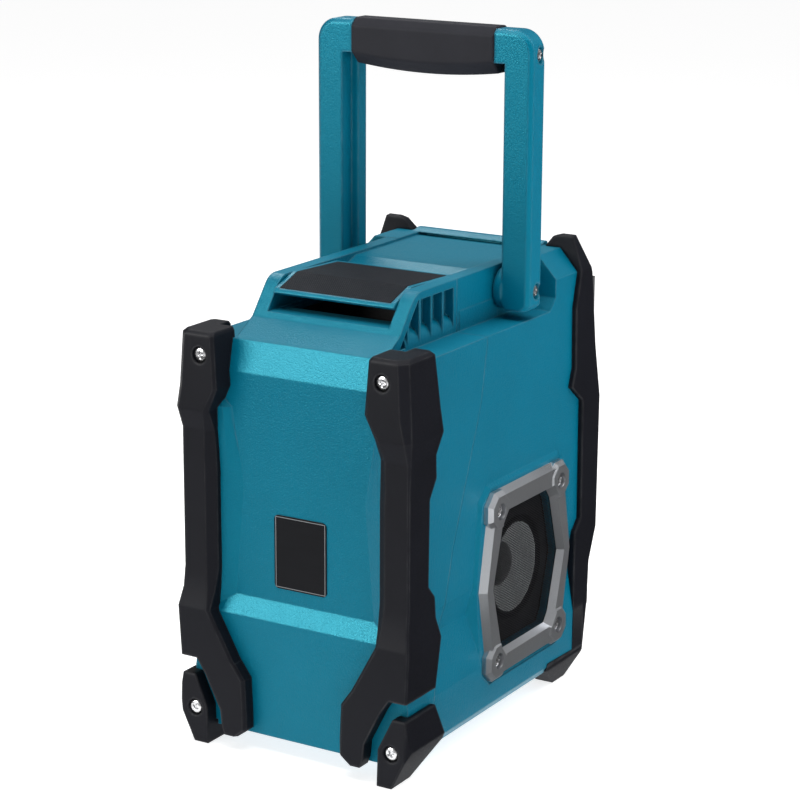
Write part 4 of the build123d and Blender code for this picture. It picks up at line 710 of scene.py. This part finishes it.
def lathed(name, profile, sides):
    """A mesh turned about Z from a profile of (radius, height), closed at both ends."""
    work = bmesh.new()
    rings = []
    for radius, height in profile:
        angles = [2 * math.pi * k / sides for k in range(sides)] if radius else [0.0]
        rings.append([work.verts.new((radius * math.cos(turn), radius * math.sin(turn), height))
                      for turn in angles])
    for upper, lower in zip(rings, rings[1:]):
        for k in range(sides):
            after = (k + 1) % sides
            if len(upper) == 1:
                work.faces.new((upper[0], lower[k], lower[after]))
            elif len(lower) == 1:
                work.faces.new((upper[k], lower[0], upper[after]))
            else:
                work.faces.new((upper[k], lower[k], lower[after], upper[after]))
    return mesh_of(name, work)


def cross_cutter(radius, depth):
    """Tapered cross that sinks the driver recess."""
    def ring(arm, half, height):
        quarter = ((arm, -half), (arm, half), (half, half))
        corners = []
        for x, y in ((1, 0), (0, 1), (-1, 0), (0, -1)):
            corners += [(x * a - y * b, y * a + x * b) for a, b in quarter]
        return [work.verts.new((x, y, height)) for x, y in corners]

    work = bmesh.new()
    top = ring(0.62 * radius, 0.17 * radius, 0.2 * depth)
    foot = ring(0.30 * radius, 0.08 * radius, -depth)
    work.faces.new(top)
    work.faces.new(foot[::-1])
    for k, corner in enumerate(top):
        after = (k + 1) % len(top)
        work.faces.new((corner, foot[k], foot[after], top[after]))
    return link_piece("cross_cutter", mesh_of("cross_cutter", work))


def pan_screw(sizes, length):
    """One pan-head screw with a cross recess, its head's top on the XY plane."""
    radius, height = sizes.screw_head, sizes.screw_height
    shank = 0.45 * radius
    root = 0.82 * shank
    turns = 6
    profile = [(0.0, 0.0), (0.55 * radius, 0.0), (0.78 * radius, -0.10 * height),
               (0.92 * radius, -0.30 * height), (0.99 * radius, -0.60 * height),
               (radius, -0.95 * height), (0.97 * radius, -height), (shank, -height)]
    step = (length - height) / (turns + 1)
    for turn in range(turns):
        depth = height + step * (turn + 0.5)
        profile += [(root, -depth), (shank, -depth - 0.35 * step), (root, -depth - 0.7 * step)]
    profile += [(0.7 * shank, -length), (0.0, -length)]
    screw = link_piece("pan_screw", lathed("pan_screw", profile, sizes.screw_sides))
    cutter = cross_cutter(radius, 0.62 * height)
    recess = screw.modifiers.new("driver recess", "BOOLEAN")
    recess.operation = "DIFFERENCE"
    recess.solver = "EXACT"
    recess.object = cutter
    baked(screw)
    bpy.data.objects.remove(cutter)
    smoothed(screw).data.set_sharp_from_angle(angle=SCREW_CREASE)
    return screw


def screw_seats(node):
    """(top of the head, outward direction, length) of each screw in a frame node."""
    work = welded(node)
    left = set(work.verts)
    seats = []
    while left:
        heap = [left.pop()]
        island = []
        while heap:
            corner = heap.pop()
            island.append(corner.co.copy())
            for edge in corner.link_edges:
                other = edge.other_vert(corner)
                if other in left:
                    left.remove(other)
                    heap.append(other)
        low = Vector(map(min, zip(*island)))
        high = Vector(map(max, zip(*island)))
        size, centre = high - low, (low + high) / 2
        axis = max(range(3), key=lambda k: size[k])
        way = Vector((0.0, 0.0, 0.0))
        way[axis] = 1.0 if centre[axis] > 0 else -1.0
        top = centre.copy()
        top[axis] = high[axis] if way[axis] > 0 else low[axis]
        seats.append((top, way, size[axis]))
    work.free()
    return seats


def set_screws(name, body, material, sizes, nodes):
    """Replaces the plain screws of these nodes with detailed ones."""
    seats = [seat for node in nodes for seat in screw_seats(node)]
    mesh = bpy.data.meshes.new(name)
    mesh.from_pydata([seat[0] for seat in seats], [], [])
    facing = mesh.attributes.new("facing", "FLOAT_VECTOR", "POINT")
    facing.data.foreach_set("vector", [part for seat in seats for part in seat[1]])
    piece = link_piece(name, mesh)
    screw = pan_screw(sizes, min(seat[2] for seat in seats))
    grown(piece, screw_tree(), {"Screw": screw, "Size": 1.0, "Seed": 7, "Finish": material})
    bpy.data.objects.remove(screw)
    fit(piece, body, "screw_steel", material, *nodes)


# ---- key figures

def thickened(name, corners, faces):
    """A flat figure in the XY plane given its little depth."""
    mesh = bpy.data.meshes.new(name)
    mesh.from_pydata(corners, [], faces)
    work = bmesh.new()
    work.from_mesh(mesh)
    bmesh.ops.remove_doubles(work, verts=work.verts, dist=1e-6)
    raised = bmesh.ops.extrude_face_region(work, geom=list(work.faces))["geom"]
    bmesh.ops.translate(work, vec=(0.0, 0.0, MARK_DEPTH),
                        verts=[item for item in raised if isinstance(item, bmesh.types.BMVert)])
    return mesh_of(name, work)


def preset_mark(key, height):
    """The number on a preset key."""
    text = bpy.data.curves.new(f"{key}_figure", "FONT")
    text.body = key[-1]
    text.size = height * 1.35
    text.align_x = text.align_y = "CENTER"
    text.extrude = MARK_DEPTH
    writing = link_piece(f"{key}_figure", text)
    graph = bpy.context.evaluated_depsgraph_get()
    mesh = bpy.data.meshes.new_from_object(writing.evaluated_get(graph), depsgraph=graph)
    bpy.data.objects.remove(writing)
    return mesh


def power_mark(height):
    """An open ring with a bar in its gap."""
    steps = 28
    corners = []
    for k in range(steps + 1):
        turn = math.radians(125 + 290 * k / steps)
        corners += [(radius * math.cos(turn), radius * math.sin(turn), 0.0)
                    for radius in (0.34 * height, 0.46 * height)]
    faces = [(2 * k, 2 * k + 1, 2 * k + 3, 2 * k + 2) for k in range(steps)]
    first = len(corners)
    bar, foot, top = 0.06 * height, 0.08 * height, 0.56 * height
    corners += [(-bar, foot, 0.0), (bar, foot, 0.0), (bar, top, 0.0), (-bar, top, 0.0)]
    return thickened("power_figure", corners, faces + [tuple(range(first, first + 4))])


def source_mark(height):
    """Two arrows, one each way."""
    arrow = ((-0.5, 0.12), (0.15, 0.12), (0.15, 0.0), (0.5, 0.18), (0.15, 0.36), (0.15, 0.24),
             (-0.5, 0.24))
    corners = [(way * x * height, way * y * height, 0.0) for way in (1, -1) for x, y in arrow]
    return thickened("source_figure", corners, [tuple(range(7)), tuple(range(7, 14))])


def key_mark(key, height):
    """The figure on a key, facing +Z."""
    if key == "power":
        return power_mark(height)
    return source_mark(height) if key == "source" else preset_mark(key, height)


# ---- operators

def chosen(context):
    return context.scene.radio_sizes, context.scene.radio_colours


class RADIO_OT_shells(Operator):
    """Finish the casing shells and the front cover"""
    bl_idname = "radio.shells"
    bl_label = "Casing Shells"

    def execute(self, context):
        _, colours = chosen(context)
        finish_nodes(shell_teal(context.scene), "main_shell", "rear_shell")
        cover = moulded("cover moulding", colours.cover, roughness=0.5, grain=1500.0, relief=0.35,
                        edge=0.0012, edge_wear_and_highlight=0.4, edge_wear_and_highlight_lift=0.04, gloss=0.22)
        finish_nodes(cover, "front_cover")
        return {"FINISHED"}


class RADIO_OT_bumpers(Operator):
    """Round and finish the corner bumpers and the feet"""
    bl_idname = "radio.bumpers"
    bl_label = "Bumpers and Feet"

    def execute(self, context):
        sizes, colours = chosen(context)
        # the bumper edges are painted lighter: painted highlight on the facet ridges as well as
        # wear
        black = moulded("bumper moulding", colours.bumper, roughness=0.52, grain=1100.0,
                        relief=0.30, mottling=0.10, edge=0.0026, edge_wear_and_highlight=0.70, edge_wear_and_highlight_lift=0.07, gloss=0.10)
        for node in both("rear_bumper") + both("front_bumper") + both("rear_foot"):
            round_off(node, f"{node}_moulding", sizes.bumper_rounding, "casing", "bumper_black",
                      black)
        return {"FINISHED"}


class RADIO_OT_handle(Operator):
    """Round and finish the handle arms and the soft grip"""
    bl_idname = "radio.handle"
    bl_label = "Handle"

    def execute(self, context):
        sizes, colours = chosen(context)
        # the arm edges are painted lighter: painted highlight along the edges as well as wear
        teal = moulded("handle moulding", colours.handle, roughness=0.34, grain=950.0, relief=0.60,
                       depth=0.00025, mottling=0.03, edge=0.0026, edge_wear_and_highlight=0.45, edge_wear_and_highlight_lift=0.14, gloss=0.48,
                       tint=TEAL_SHEEN)
        for node in both("handle_arm"):
            round_off(node, f"{node}_moulding", sizes.arm_rounding, "handle", "handle_teal", teal)
        rubber = moulded("grip sleeve", colours.grip, roughness=0.6, grain=1700.0, relief=0.5,
                         mottling=0.10, edge=0.0016, edge_wear_and_highlight=0.3, edge_wear_and_highlight_lift=0.03, gloss=0.07)
        round_off("handle_grip", "grip_sleeve", sizes.grip_rounding, "handle", "grip_rubber",
                  rubber, crease=20)
        finish_nodes(plated_steel("pin steel", colours.steel), "handle_core", "pivot_pins")
        return {"FINISHED"}


class RADIO_OT_lid(Operator):
    """Round and finish the top lid and its mat"""
    bl_idname = "radio.lid"
    bl_label = "Top Lid"

    def execute(self, context):
        sizes, colours = chosen(context)
        round_off("top_lid", "lid_moulding", sizes.lid_rounding, "lid", "shell_teal",
                  shell_teal(context.scene))
        round_off("lid_mat", "lid_mat_sheet", MAT_ROUNDING, "lid", "mat_rubber",
                  diamond_mat("lid mat", colours.mat), segments=2)
        finish_nodes(plated_steel("pin steel", colours.steel), "lid_hinge_pin")
        return {"FINISHED"}


class RADIO_OT_bezels(Operator):
    """Round and paint the speaker bezels"""
    bl_idname = "radio.bezels"
    bl_label = "Speaker Bezels"

    def execute(self, context):
        sizes, colours = chosen(context)
        silver = satin_paint("bezel paint", colours.silver)
        for node in both("speaker_bezel"):
            round_off(node, f"{node}_moulding", sizes.bezel_rounding, "casing", "bezel_silver",
                      silver, segments=2)
        return {"FINISHED"}


class RADIO_OT_grilles(Operator):
    """Make the perforated speaker grilles"""
    bl_idname = "radio.grilles"
    bl_label = "Speaker Grilles"

    def execute(self, context):
        sizes, _ = chosen(context)
        pitch, sheet = sizes.grille_pitch, sizes.grille_sheet
        black = coated_sheet("grille paint", GRILLE_BLACK)
        tree = perforation_tree()
        for side in SIDES:
            node = f"speaker_grille_{side}"
            low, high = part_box(node)
            centre = (low + high) / 2
            corners = {(round(v.co.y, 5), round(v.co.z, 5)) for v in NODES[node].data.vertices}
            outline = sorted(((y - centre.y, z - centre.z) for y, z in corners),
                             key=lambda p: math.atan2(p[1], p[0]))
            mesh = bpy.data.meshes.new(f"perforated_{side}")
            mesh.from_pydata([(y, z, 0.0) for y, z in outline], [], [list(range(len(outline)))])
            piece = link_piece(f"perforated_grille_{side}", mesh)
            grown(piece, tree, {
                "Pitch": pitch, "Hole Share": sizes.grille_hole, "Thickness": sheet,
                "Columns": int((high.y - low.y) / (pitch * math.sqrt(3.0))) + 3,
                "Rows": int((high.z - low.z) / pitch) + 3, "Finish": black})
            way = 1 if side == "right" else -1
            stand = Matrix(((0, 0, way, 0), (way, 0, 0, 0), (0, 1, 0, 0), (0, 0, 0, 1)))
            stand.translation = (centre.x - way * sheet / 2, centre.y, centre.z)
            piece.data.transform(stand)
            fit(piece, "casing", "grille_metal", black, node)
        return {"FINISHED"}


class RADIO_OT_speakers(Operator):
    """Finish the speaker drivers behind the grilles"""
    bl_idname = "radio.speakers"
    bl_label = "Speaker Drivers"

    def execute(self, context):
        finish_nodes(pressed_paper("cone paper", CONE_GREY), *both("speaker_cone"))
        finish_nodes(pressed_paper("dust cap felt", CAP_GREY, 0.0014), *both("dust_cap"))
        finish_nodes(plastic("surround rubber"), *both("speaker_surround"), *both("speaker_gasket"))
        finish_nodes(plastic("basket moulding"), *both("speaker_basket"))
        finish_nodes(plastic("magnet ferrite"), *both("speaker_magnet"))
        return {"FINISHED"}


class RADIO_OT_controls(Operator):
    """Finish the front controls: window, display, keys, dial, door and sockets"""
    bl_idname = "radio.controls"
    bl_label = "Front Controls"

    def execute(self, context):
        sizes, colours = chosen(context)
        finish_nodes(clear_window("display window"), "display_window")
        finish_nodes(liquid_display("display glass", "display_module"), "display_module")
        rubber = plastic("key rubber", fuzz=0.1)
        finish_nodes(rubber, "button_pad")
        ink = moulded("printed ink", colours.mark, roughness=0.5, grain=2200.0, relief=0.1,
                      edge=0.0001, edge_wear_and_highlight=0.1, edge_wear_and_highlight_lift=0.0, gloss=0.3)
        for key in ("power", "source", "preset_1", "preset_2", "preset_3", "preset_4"):
            node, body = f"{key}_button", f"{key}_key"
            round_off(node, f"{key}_key_cap", sizes.key_rounding, body, "key_rubber", rubber)
            low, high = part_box(node)
            mark = key_mark(key, sizes.mark_height)
            mark.transform(Matrix.Translation(((low.x + high.x) / 2, low.y, (low.z + high.z) / 2))
                           @ Matrix.Rotation(math.pi / 2, 4, "X"))
            fit(link_piece(f"{key}_key_mark", mark), body, "key_rubber", ink)
        finish_nodes(plastic("dial moulding"), "control_dial")
        round_off("socket_door", "socket_door_moulding", DOOR_ROUNDING, "door", "door_rubber",
                  plastic("door rubber", fuzz=0.1))
        finish_nodes(plastic("socket moulding"), "socket_tray", "sockets")
        steel = plated_steel("pin steel", colours.steel)
        finish_nodes(steel, "dial_shaft", "dial_encoder", "door_hinge_pin")
        return {"FINISHED"}


class RADIO_OT_plate(Operator):
    """Finish the blank rating plate on the back"""
    bl_idname = "radio.plate"
    bl_label = "Blank Plate"

    def execute(self, context):
        finish_nodes(blank_plate("blank plate", PLATE_BLACK, "rating_plate"), "rating_plate")
        return {"FINISHED"}


class RADIO_OT_insides(Operator):
    """Finish the boards, battery box and other inner parts"""
    bl_idname = "radio.insides"
    bl_label = "Inner Parts"

    def execute(self, context):
        finish_nodes(circuit_board("circuit board"), "main_board", "amplifier_board")
        finish_nodes(plastic("battery box moulding"), "battery_box", "terminal_block",
                     "internal_aerial")
        return {"FINISHED"}


class RADIO_OT_screws(Operator):
    """Set detailed screws in every screw seat"""
    bl_idname = "radio.screws"
    bl_label = "Screws"

    def execute(self, context):
        sizes, colours = chosen(context)
        steel = plated_steel("screw plating", colours.steel)
        set_screws("casing_screws", "casing", steel, sizes,
                   ("bezel_screws", "bumper_screws", "foot_screws"))
        set_screws("handle_bolts", "handle", steel, sizes, ("handle_screws", "pivot_screws"))
        return {"FINISHED"}


class RADIO_OT_studio(Operator):
    """Set the pale floor, the soft light and the camera"""
    bl_idname = "radio.studio"
    bl_label = "Studio"

    def execute(self, context):
        studio = context.scene.radio_studio
        half = studio.floor_size / 2
        glow = {"Emission Color": (1.0, 1.0, 1.0, 1.0), "Emission Strength": studio.floor_glow}
        paper = studio_paper("floor paper", glow, 3.0, scaled(studio.floor_colour, 0.985),
                             scaled(studio.floor_colour, 1.015))
        floor = flat_piece("studio_floor", ((-half, -half, FLOOR_Z), (half, -half, FLOOR_Z),
                                            (half, half, FLOOR_Z), (-half, half, FLOOR_Z)), paper)

        world = bpy.data.worlds.new("studio room")
        world.use_nodes = True
        backdrop = world.node_tree.nodes["Background"]
        backdrop.inputs["Color"].default_value = (1.0, 1.0, 1.0, 1.0)
        backdrop.inputs["Strength"].default_value = studio.room_light
        context.scene.world = world

        for name, spot, aim, size, strength, gloss_only in SOFTBOXES:
            lamp = softbox(name, spot, aim, size, getattr(studio, strength))
            lamp.visible_diffuse = not gloss_only
        for name, spot, size, share in REFLECTORS:
            card = softbox(name, spot, REFLECTOR_AIM, size, share * studio.card_power)
            card.visible_camera = card.visible_glossy = False
        for name, corners in FLAGS.items():
            black_flag(name, corners)

        context.scene.camera = studio_camera(studio)
        context.scene.view_settings.view_transform = "Standard"
        return {"FINISHED"}


def flat_piece(name, corners, material):
    """One flat face, for the floor or a card."""
    mesh = bpy.data.meshes.new(name)
    mesh.from_pydata(corners, [], [tuple(range(len(corners)))])
    mesh.materials.append(material)
    return link_piece(name, mesh)


def softbox(name, spot, aim, size, strength):
    """A rectangular area light aimed at a point."""
    light = bpy.data.lights.new(name, "AREA")
    light.shape = "RECTANGLE"
    light.size, light.size_y = size
    light.energy = strength
    lamp = link_piece(name, light)
    lamp.location = spot
    lamp.rotation_euler = (Vector(aim) - Vector(spot)).to_track_quat("-Z", "Y").to_euler()
    return lamp


def black_flag(name, corners):
    """A dark card beside the radio that only shows in its gloss."""
    card = studio_paper("flag card", {}, 40.0, (0.03, 0.03, 0.03, 1.0), (0.05, 0.05, 0.05, 1.0))
    flag = flat_piece(name, corners, card)
    for kind in ("camera", "diffuse", "shadow", "transmission"):
        setattr(flag, f"visible_{kind}", False)


def studio_camera(studio):
    """The camera, from its place, azimuth, elevation, roll and lens."""
    lens = bpy.data.cameras.new("studio camera")
    lens.lens = studio.camera_lens
    lens.sensor_width = 36.0
    lens.clip_start, lens.clip_end = 0.05, 60.0
    camera = link_piece("studio camera", lens)
    camera.matrix_world = (
        Matrix.Translation(studio.camera_spot) @ Matrix.Rotation(studio.camera_azimuth, 4, "Z")
        @ Matrix.Rotation(math.pi / 2 - studio.camera_elevation, 4, "X")
        @ Matrix.Rotation(studio.camera_roll, 4, "Z"))
    return camera


# ---- panel and start

STEPS = (
    RADIO_OT_studio, RADIO_OT_shells, RADIO_OT_bumpers, RADIO_OT_handle, RADIO_OT_lid,
    RADIO_OT_bezels, RADIO_OT_grilles, RADIO_OT_speakers, RADIO_OT_controls, RADIO_OT_plate,
    RADIO_OT_insides, RADIO_OT_screws,
)
GROUPS = {"radio_sizes": RadioSizes, "radio_colours": RadioColours, "radio_studio": RadioStudio}


class RADIO_PT_dressing(Panel):
    """Lists the steps and the values of the dressing"""
    bl_idname = "RADIO_PT_dressing"
    bl_label = "Jobsite Radio"
    bl_space_type = "VIEW_3D"
    bl_region_type = "UI"
    bl_category = "Jobsite Radio"

    def draw(self, context):
        for step in STEPS:
            self.layout.operator(step.bl_idname)
        for name in GROUPS:
            group = getattr(context.scene, name)
            box = self.layout.box()
            for value in group.__annotations__:
                box.prop(group, value)


CLASSES = (*GROUPS.values(), *STEPS, RADIO_PT_dressing)


def register():
    for entry in CLASSES:
        bpy.utils.register_class(entry)
    for name, group in GROUPS.items():
        setattr(bpy.types.Scene, name, PointerProperty(type=group))


def unregister():
    for name in GROUPS:
        delattr(bpy.types.Scene, name)
    for entry in reversed(CLASSES):
        bpy.utils.unregister_class(entry)


def main():
    register()
    for step in STEPS:
        family, name = step.bl_idname.split(".")
        getattr(getattr(bpy.ops, family), name)()


if __name__ == "__main__":
    main()
